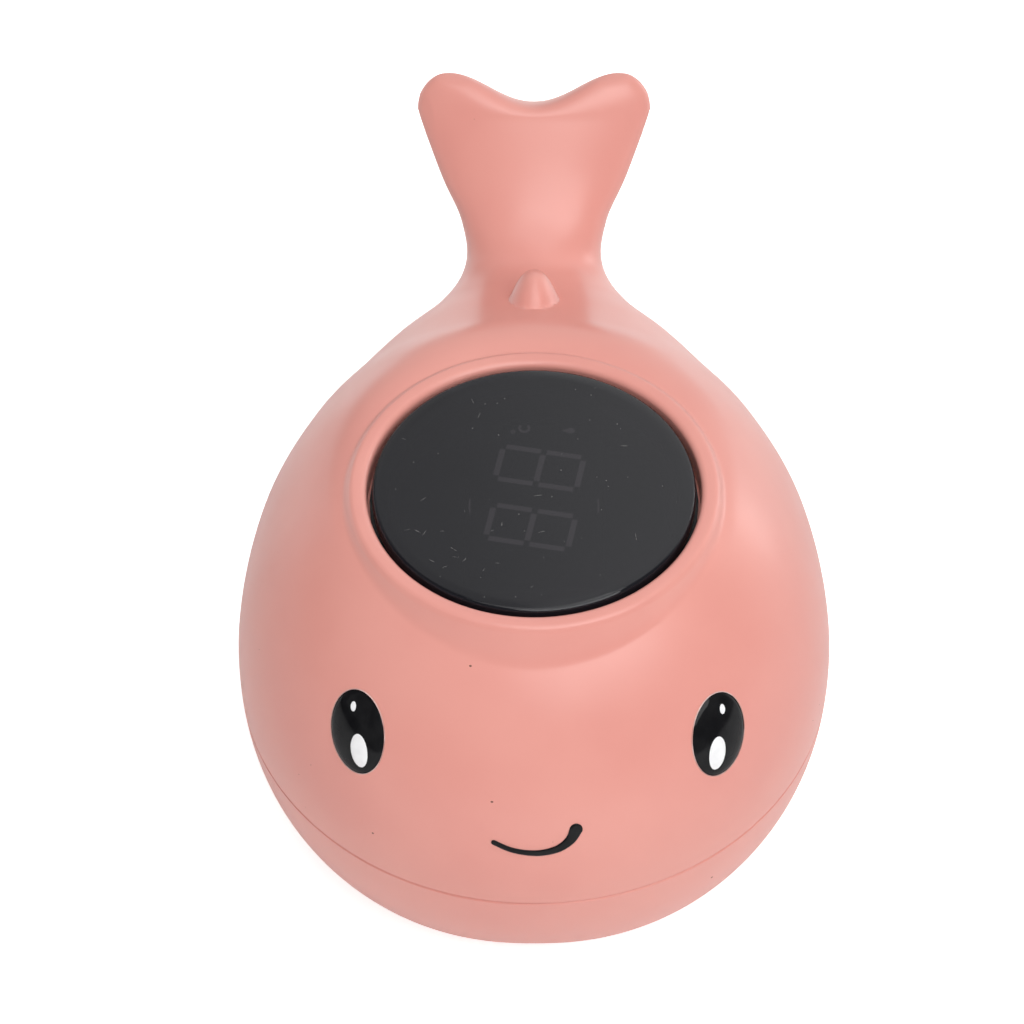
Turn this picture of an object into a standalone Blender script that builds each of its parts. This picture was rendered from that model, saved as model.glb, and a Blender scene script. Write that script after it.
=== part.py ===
"""Floating bath thermometer in the shape of a small whale, piece by piece.

Metres, +Z up. The flat foot stands on Z = 0, the face looks along -Y and the
tail rises towards +Y. The origin is on the foot, right under the display.
"""
import math

import bmesh
import bpy
from mathutils import Matrix, Vector
from mathutils.bvhtree import BVHTree

MM = 0.001
GAP = 0.3 * MM

# How far a cutter reaches past what it cuts, and the far end of a cutter that passes everything
OVERCUT = 1.0 * MM
FAR = 90.0 * MM

# Whale body: the widest section, the nose in front of it and the back behind it
HALF_WIDTH = 37.5 * MM
BODY_TOP = 62.0 * MM
BELLY_BOTTOM = -7.0 * MM
NOSE_LENGTH = 38.2 * MM
NOSE_HEIGHT = 24.0 * MM
BACK_LENGTH = 66.6 * MM
WIDEST_SHARE = 0.46
NOSE_PLAN_POWER = 2.0
NOSE_TOP_POWER = 1.8
NOSE_BELLY_POWER = 2.2
SECTION_TOP_POWER = 2.12
SECTION_BELLY_POWER = 2.3
SECTION_POINTS = 40
NOSE_RINGS = 10
HOLLOW_THIN_COUNT = 2
RINGS_PER_STATION = 2

# Back stations: where the top and the belly run (y as a share of the back
# length, z as a share of the top height), half width as a share of the widest
# one, and how high in the section the widest point lies
BACK_STATIONS = (
    (0.210, 0.984, 0.210, -0.105, 0.955, 0.47),
    (0.360, 0.927, 0.420, -0.016, 0.832, 0.48),
    (0.465, 0.863, 0.571, 0.113, 0.672, 0.52),
    (0.556, 0.815, 0.698, 0.274, 0.509, 0.54),
    (0.631, 0.784, 0.788, 0.435, 0.336, 0.54),
    (0.698, 0.771, 0.856, 0.581, 0.243, 0.50),
    (0.766, 0.795, 0.908, 0.694, 0.256, 0.50),
    (0.833, 0.855, 0.950, 0.787, 0.325, 0.50),
    (0.916, 0.961, 1.000, 0.906, 0.405, 0.50),
)
BODY_STATION_COUNT = 5

# Tail fluke: two round lobes with a notch between them
FLUKE_LENGTH = 4.3 * MM
FLUKE_TIP_X = 11.8 * MM
FLUKE_EDGE = 1.6 * MM
FLUKE_RINGS = 3

# Small fin on the back
FIN_Y = 37.2 * MM
FIN_RADIUS = 3.2 * MM
FIN_HEIGHT = 4.6 * MM
FIN_ROOT = 2.0 * MM
FIN_LEAN = 2.4 * MM
FIN_RING_POWERS = (1.6, 0.75)

# Moulded shells
WALL = 2.4 * MM
FLOOR = 2.4 * MM
SEAM_HEIGHT = 22.5 * MM
TONGUE_HEIGHT = 2.5 * MM
TONGUE_SKIRT = 1.1 * MM
TONGUE_THICKNESS = 0.8 * MM
SEAL_THICKNESS = 0.8 * MM
RIB_INSET = 1.2 * MM

# Display housing on the back
DECK_TOP = 55.2 * MM
RIM_TOP = 56.0 * MM
RIM_SEGMENTS = 40
RIM_WALL = 2.3 * MM
RIM_DRAFT = 2.0 * MM
RIM_ROUNDING = 0.8 * MM
MOUTH_ROUNDING = 0.4 * MM
LENS_RADIUS = 20.0 * MM
LENS_THICKNESS = 2.0 * MM
LENS_SINK = 0.5 * MM
LENS_BEVEL = 0.5 * MM
GASKET_THICKNESS = 0.6 * MM
LEDGE_WIDTH = 2.8 * MM
LEDGE_THICKNESS = 1.6 * MM

# Display, board and their screws
DISPLAY_SIZE = (17.0 * MM, 27.0 * MM, 5.6 * MM)
BOARD_SIZE = (33.0 * MM, 29.0 * MM, 1.6 * MM)
BOARD_TOP = 46.0 * MM
BOARD_CORNER = 2.0 * MM
CHIP_SIZE = (9.0 * MM, 6.0 * MM, 1.6 * MM)
DISPLAY_BEVEL = 0.4 * MM
CHIP_BEVEL = 0.2 * MM
BOARD_SCREW_X = 14.4 * MM
BOARD_SCREW_Y = 12.0 * MM
BOARD_BOSS_RADIUS = 2.2 * MM
BOARD_SCREW_RADIUS = 0.8 * MM
BOARD_SCREW_LENGTH = 5.2 * MM
BOARD_SCREW_HEAD = 1.7 * MM

# Screws that join the two shells from below
HULL_SCREW_X = 21.0 * MM
HULL_SCREW_Y = 11.0 * MM
HULL_SCREW_RADIUS = 1.2 * MM
HULL_SCREW_LENGTH = 20.0 * MM
HULL_SCREW_HEAD = 2.3 * MM
HULL_SCREW_SINK = 4.5 * MM
COLUMN_RADIUS = 2.9 * MM
POST_TOP = 18.0 * MM

# Batteries and the bay that holds them
CELL_RADIUS = 5.25 * MM
CELL_LENGTH = 44.5 * MM
CELL_NUB_RADIUS = 1.9 * MM
CELL_NUB_LENGTH = 1.0 * MM
CELL_ROUNDING = 0.6 * MM
SPRING_LENGTH = 2.4 * MM
SPRING_WIRE = 0.3 * MM
SPRING_TURNS = 2.5
SPRING_TURN_POINTS = 8
SPRING_WIDE_SHARE = 0.68
SPRING_NARROW_SHARE = 0.40
CONTACT_THICKNESS = 0.4 * MM
CONTACT_HALF_WIDTH = 4.2 * MM
CONTACT_TAB = 1.3 * MM
CONTACT_TAB_TOP = 18.0 * MM
BAY_Y = 1.0 * MM
BAY_WALL = 1.6 * MM

# Cover of the battery bay
COVER_THICKNESS = 2.4 * MM
COVER_LEDGE = 1.4 * MM
COVER_CORNER = 3.0 * MM
COVER_SEAL = 0.8 * MM
EAR_RADIUS = 4.0 * MM
EAR_REACH = 2.6 * MM
COVER_SCREW_RADIUS = 1.0 * MM
COVER_SCREW_HEAD = 2.1 * MM
COVER_SCREW_LENGTH = 7.0 * MM
HEAD_HEIGHT = 1.2 * MM

# Metal studs in the belly: the warm-water sensor and two water contacts
SENSOR_CLEARANCE = 4.9 * MM
SENSOR_FLANGE = 4.2 * MM
SENSOR_STEM = 3.0 * MM
SENSOR_WALL = 0.8 * MM
PIN_X = 9.5 * MM
PIN_FLANGE = 2.4 * MM
PIN_STEM = 1.2 * MM
FLANGE_HEIGHT = 0.8 * MM
STEM_LENGTH = 4.4 * MM
BEAD_RADIUS = 1.4 * MM
BEAD_LENGTH = 2.6 * MM

# Domed stud head: shares of its radius and of its height, from the middle out
STUD_DOME_SHARES = ((0.0, 1.0), (0.6, 0.88), (0.9, 0.62), (1.0, 0.25))

# Insulated wires from the studs and the batteries to the board
WIRE_RADIUS = 0.5 * MM
WIRE_END_Y = 12.2 * MM
WIRE_SPREAD = 1.6 * MM
WIRE_POINTS = 12
WIRE_LEAD = 1.5 * MM
WIRE_ABOVE_BAY = 4.0 * MM
WIRE_RISE = 6.0 * MM
WIRE_DROP = 8.0 * MM
PIN_WIRE_SPREADS = 6.0
BATTERY_WIRE_SPREADS = 3.6

# Face: eyes set into shallow pockets, and a printed smile
FACE_SHIFT = 0.5 * MM
FACE_DROP = 0.4 * MM
EYE_X = 21.5 * MM
EYE_Z = 40.7 * MM
EYE_HALF_WIDTH = 3.95 * MM
EYE_HALF_HEIGHT = 5.1 * MM
EYE_LEAN = math.radians(7.0)
EYE_DEPTH = 0.5 * MM
EYE_PROUD = 0.25 * MM
PATCH_DEPTH = 8.0 * MM
GLINT_THICKNESS = 0.2 * MM
LARGE_GLINT = (1.15 * MM, 2.15 * MM, 0.1 * MM, -2.25 * MM)
GLINT_POINTS = 16
SMALL_GLINT = (0.42 * MM, 0.62 * MM, 0.8 * MM, 3.15 * MM)
SMILE_LINE = (
    (-4.8 * MM, 32.8 * MM),
    (-2.5 * MM, 31.85 * MM),
    (0.3 * MM, 31.5 * MM),
    (2.75 * MM, 32.0 * MM),
    (4.3 * MM, 33.15 * MM),
    (5.0 * MM, 34.5 * MM),
)
SMILE_START_WIDTH = 0.65 * MM
SMILE_END_WIDTH = 1.6 * MM
SMILE_THICKNESS = 0.2 * MM

# Levels and sizes that follow from the ones above
LENS_TOP = RIM_TOP - LENS_SINK
LENS_BOTTOM = LENS_TOP - LENS_THICKNESS
GASKET_BOTTOM = LENS_BOTTOM - GAP - GASKET_THICKNESS
LEDGE_TOP = GASKET_BOTTOM - GAP
LEDGE_BOTTOM = LEDGE_TOP - LEDGE_THICKNESS
BORE_RADIUS = LENS_RADIUS + GAP
WINDOW_RADIUS = BORE_RADIUS - LEDGE_WIDTH
RIM_RADIUS = BORE_RADIUS + RIM_WALL
BOARD_BOTTOM = BOARD_TOP - BOARD_SIZE[2]
SEAL_BOTTOM = COVER_THICKNESS + GAP
BAY_LEDGE = SEAL_BOTTOM + COVER_SEAL + GAP
CELL_X = CELL_RADIUS + GAP / 2
CELL_Z = COVER_THICKNESS + GAP + CELL_RADIUS
BAY_TOP = CELL_Z + CELL_RADIUS + GAP
BAY_HALF_WIDTH = 2 * CELL_RADIUS + 1.5 * GAP
BAY_HALF_LENGTH = (CELL_LENGTH + SPRING_LENGTH) / 2 + CONTACT_THICKNESS + 2.5 * GAP
COVER_HALF_WIDTH = BAY_HALF_WIDTH + COVER_LEDGE - GAP
COVER_HALF_LENGTH = BAY_HALF_LENGTH + COVER_LEDGE - GAP
EAR_X = COVER_HALF_WIDTH + EAR_REACH
BAY_BLOCK_TOP = BAY_TOP + BAY_WALL
BAY_REAR = BAY_Y + COVER_HALF_LENGTH + GAP + BAY_WALL
SENSOR_Y = BAY_REAR + SENSOR_CLEARANCE
COVER_SCREW_SEAT = GAP + HEAD_HEIGHT
SEAL_ROOF = SEAM_HEIGHT + TONGUE_HEIGHT + SEAL_THICKNESS + 2 * GAP


def clear_scene():
    """Start from an empty scene."""
    for old in list(bpy.data.objects):
        bpy.data.objects.remove(old, do_unlink=True)


def plastic(name, colour, roughness, metallic=0.0):
    """One Principled material."""
    material = bpy.data.materials.new(name)
    material.use_nodes = True
    shader = material.node_tree.nodes["Principled BSDF"]
    shader.inputs["Base Color"].default_value = (*colour, 1.0)
    shader.inputs["Roughness"].default_value = roughness
    shader.inputs["Metallic"].default_value = metallic
    material.diffuse_color = (*colour, 1.0)
    return material


def mesh_object(name, bm, material=None, parent=None, sharp=35.0):
    """Turn a bmesh into an object, shaded smooth up to an angle."""
    mesh = bpy.data.meshes.new(name)
    bm.to_mesh(mesh)
    bm.free()
    piece = bpy.data.objects.new(name, mesh)
    bpy.context.scene.collection.objects.link(piece)
    finish(piece, material, parent, sharp)
    return piece


def finish(piece, material=None, parent=None, sharp=35.0):
    """Give a piece its material, its smooth shading and its parent."""
    piece.data.shade_smooth()
    piece.data.set_sharp_from_angle(angle=math.radians(sharp))
    if material is not None:
        piece.data.materials.clear()
        piece.data.materials.append(material)
    if parent is not None:
        piece.parent = parent


def combine(base, tool, operation):
    """Apply a Boolean with a tool object, which is then removed."""
    modifier = base.modifiers.new("combine", "BOOLEAN")
    modifier.operation = operation
    modifier.solver = "EXACT"
    modifier.object = tool
    depsgraph = bpy.context.evaluated_depsgraph_get()
    result = bpy.data.meshes.new_from_object(base.evaluated_get(depsgraph))
    base.modifiers.clear()
    base.data = result
    bpy.data.objects.remove(tool, do_unlink=True)
    return base


def cut(base, tool):
    return combine(base, tool, "DIFFERENCE")


def join(base, tool):
    return combine(base, tool, "UNION")


def keep(base, tool):
    return combine(base, tool, "INTERSECT")


def box(low, high):
    """A box between two corners."""
    bm = bmesh.new()
    bmesh.ops.create_cube(bm, size=1.0)
    size = [b - a for a, b in zip(low, high)]
    middle = [(a + b) / 2 for a, b in zip(low, high)]
    bmesh.ops.scale(bm, vec=size, verts=bm.verts)
    bmesh.ops.translate(bm, vec=middle, verts=bm.verts)
    return bm


def bevelled_box(size, width):
    """A box about the origin with small bevelled edges."""
    bm = box([-s / 2 for s in size], [s / 2 for s in size])
    bmesh.ops.bevel(bm, geom=bm.edges[:], offset=width, segments=2, profile=0.5, affect="EDGES")
    return bm


def cylinder(radius, bottom, top, centre=(0.0, 0.0), segments=12):
    """An upright cylinder."""
    bm = bmesh.new()
    place = Matrix.Translation((centre[0], centre[1], (bottom + top) / 2))
    bmesh.ops.create_cone(
        bm, cap_ends=True, segments=segments, radius1=radius, radius2=radius,
        depth=top - bottom, matrix=place)
    return bm


def revolve(profile, segments=32, ring=False):
    """Turn (radius, height) points about Z; a ring profile closes on itself."""
    bm = bmesh.new()
    verts = [bm.verts.new((radius, 0.0, height)) for radius, height in profile]
    edges = [bm.edges.new(pair) for pair in zip(verts, verts[1:])]
    if ring:
        edges.append(bm.edges.new((verts[-1], verts[0])))
    bmesh.ops.spin(
        bm, geom=verts + edges, axis=(0, 0, 1), cent=(0, 0, 0),
        angle=2 * math.pi, steps=segments, use_merge=True)
    bmesh.ops.remove_doubles(bm, verts=bm.verts, dist=0.001 * MM)
    bmesh.ops.recalc_face_normals(bm, faces=bm.faces)
    return bm


def prism(outline, bottom, top):
    """Extrude a flat outline from one height to another."""
    bm = bmesh.new()
    face = bm.faces.new([bm.verts.new((x, y, bottom)) for x, y in outline])
    extruded = bmesh.ops.extrude_face_region(bm, geom=[face])
    raised = [v for v in extruded["geom"] if isinstance(v, bmesh.types.BMVert)]
    bmesh.ops.translate(bm, vec=(0, 0, top - bottom), verts=raised)
    bmesh.ops.recalc_face_normals(bm, faces=bm.faces)
    return bm


def rounded_rectangle(half_x, half_y, radius, centre_y=0.0, steps=4):
    """Outline of a rectangle with round corners."""
    outline = []
    for turn, (sx, sy) in enumerate(((1, 1), (-1, 1), (-1, -1), (1, -1))):
        for step in range(steps + 1):
            angle = math.pi / 2 * (turn + step / steps)
            x = sx * (half_x - radius) + radius * math.cos(angle)
            y = sy * (half_y - radius) + radius * math.sin(angle)
            outline.append((x, centre_y + y))
    return outline


def ellipse(half_x, half_y, centre=(0.0, 0.0), steps=24):
    """Outline of an ellipse."""
    angles = [2 * math.pi * step / steps for step in range(steps)]
    return [(centre[0] + half_x * math.cos(a), centre[1] + half_y * math.sin(a)) for a in angles]


def quarter_arc(radius, centre, start, steps=4):
    """Points of a quarter circle that turns clockwise from a start angle."""
    angles = [start - math.pi / 2 * step / steps for step in range(steps + 1)]
    return [(centre[0] + radius * math.cos(a), centre[1] + radius * math.sin(a)) for a in angles]


def signed_power(value, power):
    return math.copysign(abs(value) ** power, value)


def blend_points(before, start, end, after, share):
    """Catmull-Rom curve through start and end."""
    cube, square = share ** 3, share ** 2
    return [
        0.5 * (2 * b + (c - a) * share + (2 * a - 5 * b + 4 * c - d) * square
               + (3 * b - a - 3 * c + d) * cube)
        for a, b, c, d in zip(before, start, end, after)]


def back_stations():
    """Stations in metres, from the widest section to the root of the fluke."""
    widest = (0.0, BODY_TOP, 0.0, BELLY_BOTTOM, HALF_WIDTH, WIDEST_SHARE)
    stations = [widest]
    for top_y, top_z, belly_y, belly_z, width, share in BACK_STATIONS:
        stations.append((
            top_y * BACK_LENGTH, top_z * BODY_TOP, belly_y * BACK_LENGTH,
            belly_z * BODY_TOP, width * HALF_WIDTH, share))
    return stations


def nose_station(angle):
    """Section of the round nose, from its tip at 0 to the widest at 90 degrees."""
    y = -NOSE_LENGTH * math.cos(angle)
    reach = math.cos(angle)
    widest_z = BELLY_BOTTOM + WIDEST_SHARE * (BODY_TOP - BELLY_BOTTOM)
    level = NOSE_HEIGHT + (widest_z - NOSE_HEIGHT) * math.sin(angle)
    half_width = HALF_WIDTH * (1 - reach ** NOSE_PLAN_POWER) ** (1 / NOSE_PLAN_POWER)
    rise = (BODY_TOP - widest_z) * (1 - reach ** NOSE_TOP_POWER) ** (1 / NOSE_TOP_POWER)
    drop = (widest_z - BELLY_BOTTOM) * (1 - reach ** NOSE_BELLY_POWER) ** (1 / NOSE_BELLY_POWER)
    return y, level + rise, y, level - drop, half_width, drop / (rise + drop)


def section_ring(station):
    """Points of one section, round from +X over the top."""
    top_y, top_z, belly_y, belly_z, half_width, share = station
    top = Vector((0.0, top_y, top_z))
    belly = Vector((0.0, belly_y, belly_z))
    centre = belly.lerp(top, share)
    ring = []
    for index in range(SECTION_POINTS):
        angle = 2 * math.pi * index / SECTION_POINTS
        upper = math.sin(angle) >= 0
        power = 2 / (SECTION_TOP_POWER if upper else SECTION_BELLY_POWER)
        side = half_width * signed_power(math.cos(angle), power)
        height = abs(math.sin(angle)) ** power
        point = centre.lerp(top if upper else belly, height)
        ring.append(Vector((side, point.y, point.z)))
    return ring


def fluke_rings(last, before, half_width):
    """Rings that close the tail: they stretch into two lobes and thin to an edge."""
    middle = sum(last, Vector()) / len(last)
    direction = (middle - sum(before, Vector()) / len(before)).normalized()
    rings = []
    for step in range(1, FLUKE_RINGS + 1):
        angle = math.pi / 2 * step / FLUKE_RINGS
        ring = []
        for index, point in enumerate(last):
            edge = last[min(index, SECTION_POINTS - index)]
            x = abs(edge.x)
            if x <= FLUKE_TIP_X:
                reach = FLUKE_LENGTH * (1 - math.cos(math.pi * x / FLUKE_TIP_X)) / 2
            else:
                side = min(1.0, (x - FLUKE_TIP_X) / (half_width - FLUKE_TIP_X))
                reach = FLUKE_LENGTH * math.sqrt(1 - side ** 2)
            reach += FLUKE_EDGE * math.sqrt(max(0.0, 1 - (x / half_width) ** 4))
            flat = Vector((edge.x, middle.y, middle.z))
            ring.append(flat.lerp(point, math.cos(angle)) + direction * reach * math.sin(angle))
        rings.append(ring)
    return rings


def whale_rings():
    """All rings from the nose tip to the edge of the fluke."""
    tip = [Vector((0.0, -NOSE_LENGTH, NOSE_HEIGHT))] * SECTION_POINTS
    rings = [tip]
    for step in range(1, NOSE_RINGS):
        rings.append(section_ring(nose_station(math.pi / 2 * step / NOSE_RINGS)))
    stations = back_stations()
    mirrored = (-stations[1][0], stations[1][1], -stations[1][2], *stations[1][3:])
    beyond = [2 * a - b for a, b in zip(stations[-1], stations[-2])]
    chain = [mirrored, *stations, beyond]
    for start in range(1, len(stations)):
        for step in range(RINGS_PER_STATION):
            share = step / RINGS_PER_STATION
            rings.append(section_ring(blend_points(*chain[start - 1:start + 3], share)))
    rings.append(section_ring(stations[-1]))
    rings += fluke_rings(rings[-1], rings[-2], stations[-1][4])
    return rings


def ring_mesh(rings, cap_last):
    """Join rings with faces; the first is a pole, the last a pole or an edge."""
    bm = bmesh.new()
    grid = [[bm.verts.new(point) for point in ring] for ring in rings]
    count = len(rings[0])
    for ring, following in zip(grid, grid[1:]):
        for index in range(count):
            after = (index + 1) % count
            bm.faces.new((ring[index], following[index], following[after], ring[after]))
    if cap_last:
        centre = bm.verts.new(sum(rings[-1], Vector()) / count)
        for index in range(count):
            after = (index + 1) % count
            bm.faces.new((grid[-1][index], centre, grid[-1][after]))
    bmesh.ops.remove_doubles(bm, verts=bm.verts, dist=0.001 * MM)
    bmesh.ops.recalc_face_normals(bm, faces=bm.faces)
    return bm


class Skin:
    """The whale's outer surface, and copies of its body moved in or out."""

    def __init__(self):
        self.rings = whale_rings()
        self.normals = self.ring_normals()
        self.body_rings = NOSE_RINGS + BODY_STATION_COUNT * RINGS_PER_STATION + 1
        surface = self.whole()
        self.tree = BVHTree.FromBMesh(surface)
        surface.free()

    def ring_normals(self):
        """Outward direction at each point of each ring."""
        normals = []
        for row, ring in enumerate(self.rings):
            before = self.rings[max(row - 1, 0)]
            after = self.rings[min(row + 1, len(self.rings) - 1)]
            line = []
            for index in range(SECTION_POINTS):
                along = after[index] - before[index]
                round_ = ring[(index + 1) % SECTION_POINTS] - ring[index - 1]
                outward = along.cross(round_)
                line.append(outward.normalized() if outward.length > 0 else Vector((0, -1, 0)))
            normals.append(line)
        return normals

    def whole(self):
        """The full surface with the tail."""
        return ring_mesh(self.rings, cap_last=False)

    def body(self, offset, step=1):
        """The body up to the neck, moved out by an offset; a step thins its points."""
        rings = []
        for row in range(0, self.body_rings, step):
            pairs = list(zip(self.rings[row], self.normals[row]))[::step]
            rings.append([point + normal * offset for point, normal in pairs])
        return mesh_object("body", ring_mesh(rings, cap_last=True))

    def ray(self, origin, direction):
        """Point and outward normal where a ray first meets the surface."""
        point, normal, _, _ = self.tree.ray_cast(Vector(origin), Vector(direction))
        return point, normal


def slab(bottom, top):
    """Everything between two heights."""
    return mesh_object("slab", box((-FAR, -FAR, bottom), (FAR, FAR, top)))


def shell_band(skin, outside, inside, bottom, top):
    """A band that follows the hull between two insets and two heights."""
    band = skin.body(-outside)
    cut(band, skin.body(-inside))
    return keep(band, slab(bottom, top))


def corners(x, y):
    """The four places at plus and minus x and y."""
    return [(sx * x, sy * y) for sy in (-1, 1) for sx in (-1, 1)]


def frame_at(point, normal, up):
    """Placing matrix with local Z along the normal and local Y near the up direction."""
    z_axis = normal.normalized()
    x_axis = up.cross(z_axis).normalized()
    y_axis = z_axis.cross(x_axis)
    turn = Matrix((x_axis, y_axis, z_axis)).transposed().to_4x4()
    return Matrix.Translation(point) @ turn


def eye_frames(skin):
    """Place and tilt of the left and the right eye on the hull."""
    frames = []
    for side in (-1, 1):
        x = side * EYE_X + FACE_SHIFT
        z = EYE_Z - side * FACE_DROP
        point, normal = skin.ray((x, -FAR, z), (0, 1, 0))
        up = Vector((side * math.sin(EYE_LEAN), 0.0, math.cos(EYE_LEAN)))
        frames.append((side, frame_at(point, normal, up)))
    return frames


def stud_places(skin):
    """Where the belly studs sit: sensor, left pin, right pin."""
    places = []
    for x in (0.0, -PIN_X, PIN_X):
        point, normal = skin.ray((x, SENSOR_Y, -FAR), (0, 0, 1))
        places.append(frame_at(point, normal, Vector((0, 0, 1))))
    return places


def patch(skin, matrix, outline, inner, outer):
    """A thin piece that follows the hull inside an outline, between two offsets."""
    piece = mesh_object("patch", prism(outline, -PATCH_DEPTH, PATCH_DEPTH))
    piece.matrix_world = matrix
    keep(piece, skin.body(outer))
    cut(piece, skin.body(inner))
    return piece


def settle(piece):
    """Write a piece's placing into its mesh."""
    piece.data.transform(piece.matrix_basis)
    piece.matrix_basis = Matrix.Identity(4)
    return piece


def housing_rim():
    """Round rim that stands on the back, with a drafted wall and a soft lip."""
    lip = quarter_arc(RIM_ROUNDING, (RIM_RADIUS - RIM_ROUNDING, RIM_TOP - RIM_ROUNDING), math.pi / 2)
    return revolve(
        [(0.0, RIM_TOP), *lip, (RIM_RADIUS + RIM_DRAFT, LEDGE_BOTTOM + RIM_ROUNDING),
         (RIM_RADIUS + RIM_DRAFT - RIM_ROUNDING, LEDGE_BOTTOM), (0.0, LEDGE_BOTTOM)], RIM_SEGMENTS)


def lens_bore():
    """Space for the lens, the ledge under it and the window, with a soft mouth."""
    mouth = BORE_RADIUS + MOUTH_ROUNDING
    return revolve(
        [(0.0, RIM_TOP + OVERCUT), (mouth + OVERCUT, RIM_TOP + OVERCUT),
         (mouth, RIM_TOP), (BORE_RADIUS, RIM_TOP - MOUTH_ROUNDING),
         (BORE_RADIUS, LEDGE_TOP), (WINDOW_RADIUS, LEDGE_TOP),
         (WINDOW_RADIUS, LEDGE_BOTTOM - OVERCUT), (0.0, LEDGE_BOTTOM - OVERCUT)], RIM_SEGMENTS)


def back_fin():
    """Small thorn that leans back, with its root sunk in the hull."""
    bm = bmesh.new()
    steps, sides = 5, 12
    flare, taper = FIN_RING_POWERS
    rings = []
    for step in range(steps):
        share = step / steps
        radius = FIN_RADIUS * (1 - share ** flare) ** taper
        middle = Vector((0.0, FIN_LEAN * share, FIN_HEIGHT * share))
        angles = [2 * math.pi * side / sides for side in range(sides)]
        rings.append([bm.verts.new(middle + Vector((radius * math.cos(a), radius * math.sin(a), 0)))
                      for a in angles])
    for ring, following in zip(rings, rings[1:]):
        for side in range(sides):
            after = (side + 1) % sides
            bm.faces.new((ring[side], ring[after], following[after], following[side]))
    tip = bm.verts.new((0.0, FIN_LEAN, FIN_HEIGHT))
    for side in range(sides):
        bm.faces.new((rings[-1][side], rings[-1][(side + 1) % sides], tip))
    bm.faces.new(list(reversed(rings[0])))
    return bm


def upper_ribs(skin):
    """Columns for the hull screws, kept inside the wall."""
    ribs = None
    for place in corners(HULL_SCREW_X, HULL_SCREW_Y):
        column = mesh_object("column", cylinder(COLUMN_RADIUS, POST_TOP + GAP, DECK_TOP, place))
        ribs = column if ribs is None else join(ribs, column)
    return keep(ribs, skin.body(-RIB_INSET))


def make_upper_shell(skin, material, parent):
    """Back, face, tail and display housing in one moulding."""
    shell = mesh_object("upper_shell", skin.whole())
    deck = box((-FAR, -NOSE_LENGTH, DECK_TOP), (FAR, FIN_Y + 2 * FIN_RADIUS, FAR))
    cut(shell, mesh_object("deck", deck))
    hollow = skin.body(-WALL, HOLLOW_THIN_COUNT)
    keep(hollow, slab(-FAR, DECK_TOP - WALL))
    cut(shell, hollow)
    join(shell, mesh_object("rim", housing_rim()))
    join(shell, upper_ribs(skin))
    for place in corners(BOARD_SCREW_X, BOARD_SCREW_Y):
        boss = cylinder(BOARD_BOSS_RADIUS, BOARD_TOP + GAP, LEDGE_TOP - GAP, place)
        join(shell, mesh_object("boss", boss))
    fin = mesh_object("fin", back_fin())
    root, _ = skin.ray((0.0, FIN_Y, FAR), (0, 0, -1))
    fin.location = (0.0, FIN_Y, root.z - FIN_ROOT)
    join(shell, fin)
    cut(shell, mesh_object("bore", lens_bore()))
    cut(shell, slab(-FAR, SEAM_HEIGHT + GAP / 2))
    rebate = skin.body(-TONGUE_SKIRT)
    keep(rebate, slab(0.0, SEAL_ROOF))
    for place in corners(HULL_SCREW_X, HULL_SCREW_Y):
        column = cylinder(COLUMN_RADIUS + OVERCUT, -FAR, FAR, place)
        cut(rebate, mesh_object("column", column))
    cut(shell, rebate)
    for place in corners(HULL_SCREW_X, HULL_SCREW_Y):
        depth = HULL_SCREW_SINK + HULL_SCREW_LENGTH + OVERCUT
        pilot = cylinder(HULL_SCREW_RADIUS + GAP, 0.0, depth, place, 12)
        cut(shell, mesh_object("pilot", pilot))
    for place in corners(BOARD_SCREW_X, BOARD_SCREW_Y):
        depth = BOARD_BOTTOM + BOARD_SCREW_LENGTH
        pilot = cylinder(BOARD_SCREW_RADIUS + GAP, 0.0, depth, place, 12)
        cut(shell, mesh_object("pilot", pilot))
    for _, matrix in eye_frames(skin):
        outline = ellipse(EYE_HALF_WIDTH + GAP, EYE_HALF_HEIGHT + GAP)
        pocket = patch(skin, matrix, outline, -EYE_DEPTH - GAP, OVERCUT)
        cut(shell, pocket)
    finish(shell, material, parent)
    return shell


def bay_block():
    """Walls and roof of the battery bay, with a wider foot for the cover's ledge."""
    foot = (COVER_HALF_WIDTH + GAP + BAY_WALL, COVER_HALF_LENGTH + GAP + BAY_WALL)
    wall = (BAY_HALF_WIDTH + BAY_WALL, BAY_HALF_LENGTH + BAY_WALL)
    block = mesh_object("block", prism(
        rounded_rectangle(*foot, COVER_CORNER + BAY_WALL, BAY_Y), -FAR, BAY_LEDGE + BAY_WALL))
    upper = prism(rounded_rectangle(*wall, BAY_WALL, BAY_Y), 0.0, BAY_BLOCK_TOP)
    join(block, mesh_object("upper", upper))
    for side in (-1, 1):
        boss = cylinder(EAR_RADIUS, -FAR, COVER_SCREW_LENGTH + 2 * OVERCUT, (side * EAR_X, BAY_Y))
        join(block, mesh_object("boss", boss))
    return block


def lower_ribs(skin):
    """Battery bay and hull-screw posts, kept inside the wall."""
    ribs = bay_block()
    for place in corners(HULL_SCREW_X, HULL_SCREW_Y):
        post = cylinder(COLUMN_RADIUS + GAP, -FAR, POST_TOP, place)
        join(ribs, mesh_object("post", post))
    return keep(ribs, skin.body(-RIB_INSET))


def cover_outline(clearance):
    """Outline of the cover, grown by a clearance."""
    return rounded_rectangle(
        COVER_HALF_WIDTH + clearance, COVER_HALF_LENGTH + clearance,
        COVER_CORNER + clearance, BAY_Y)


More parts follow.
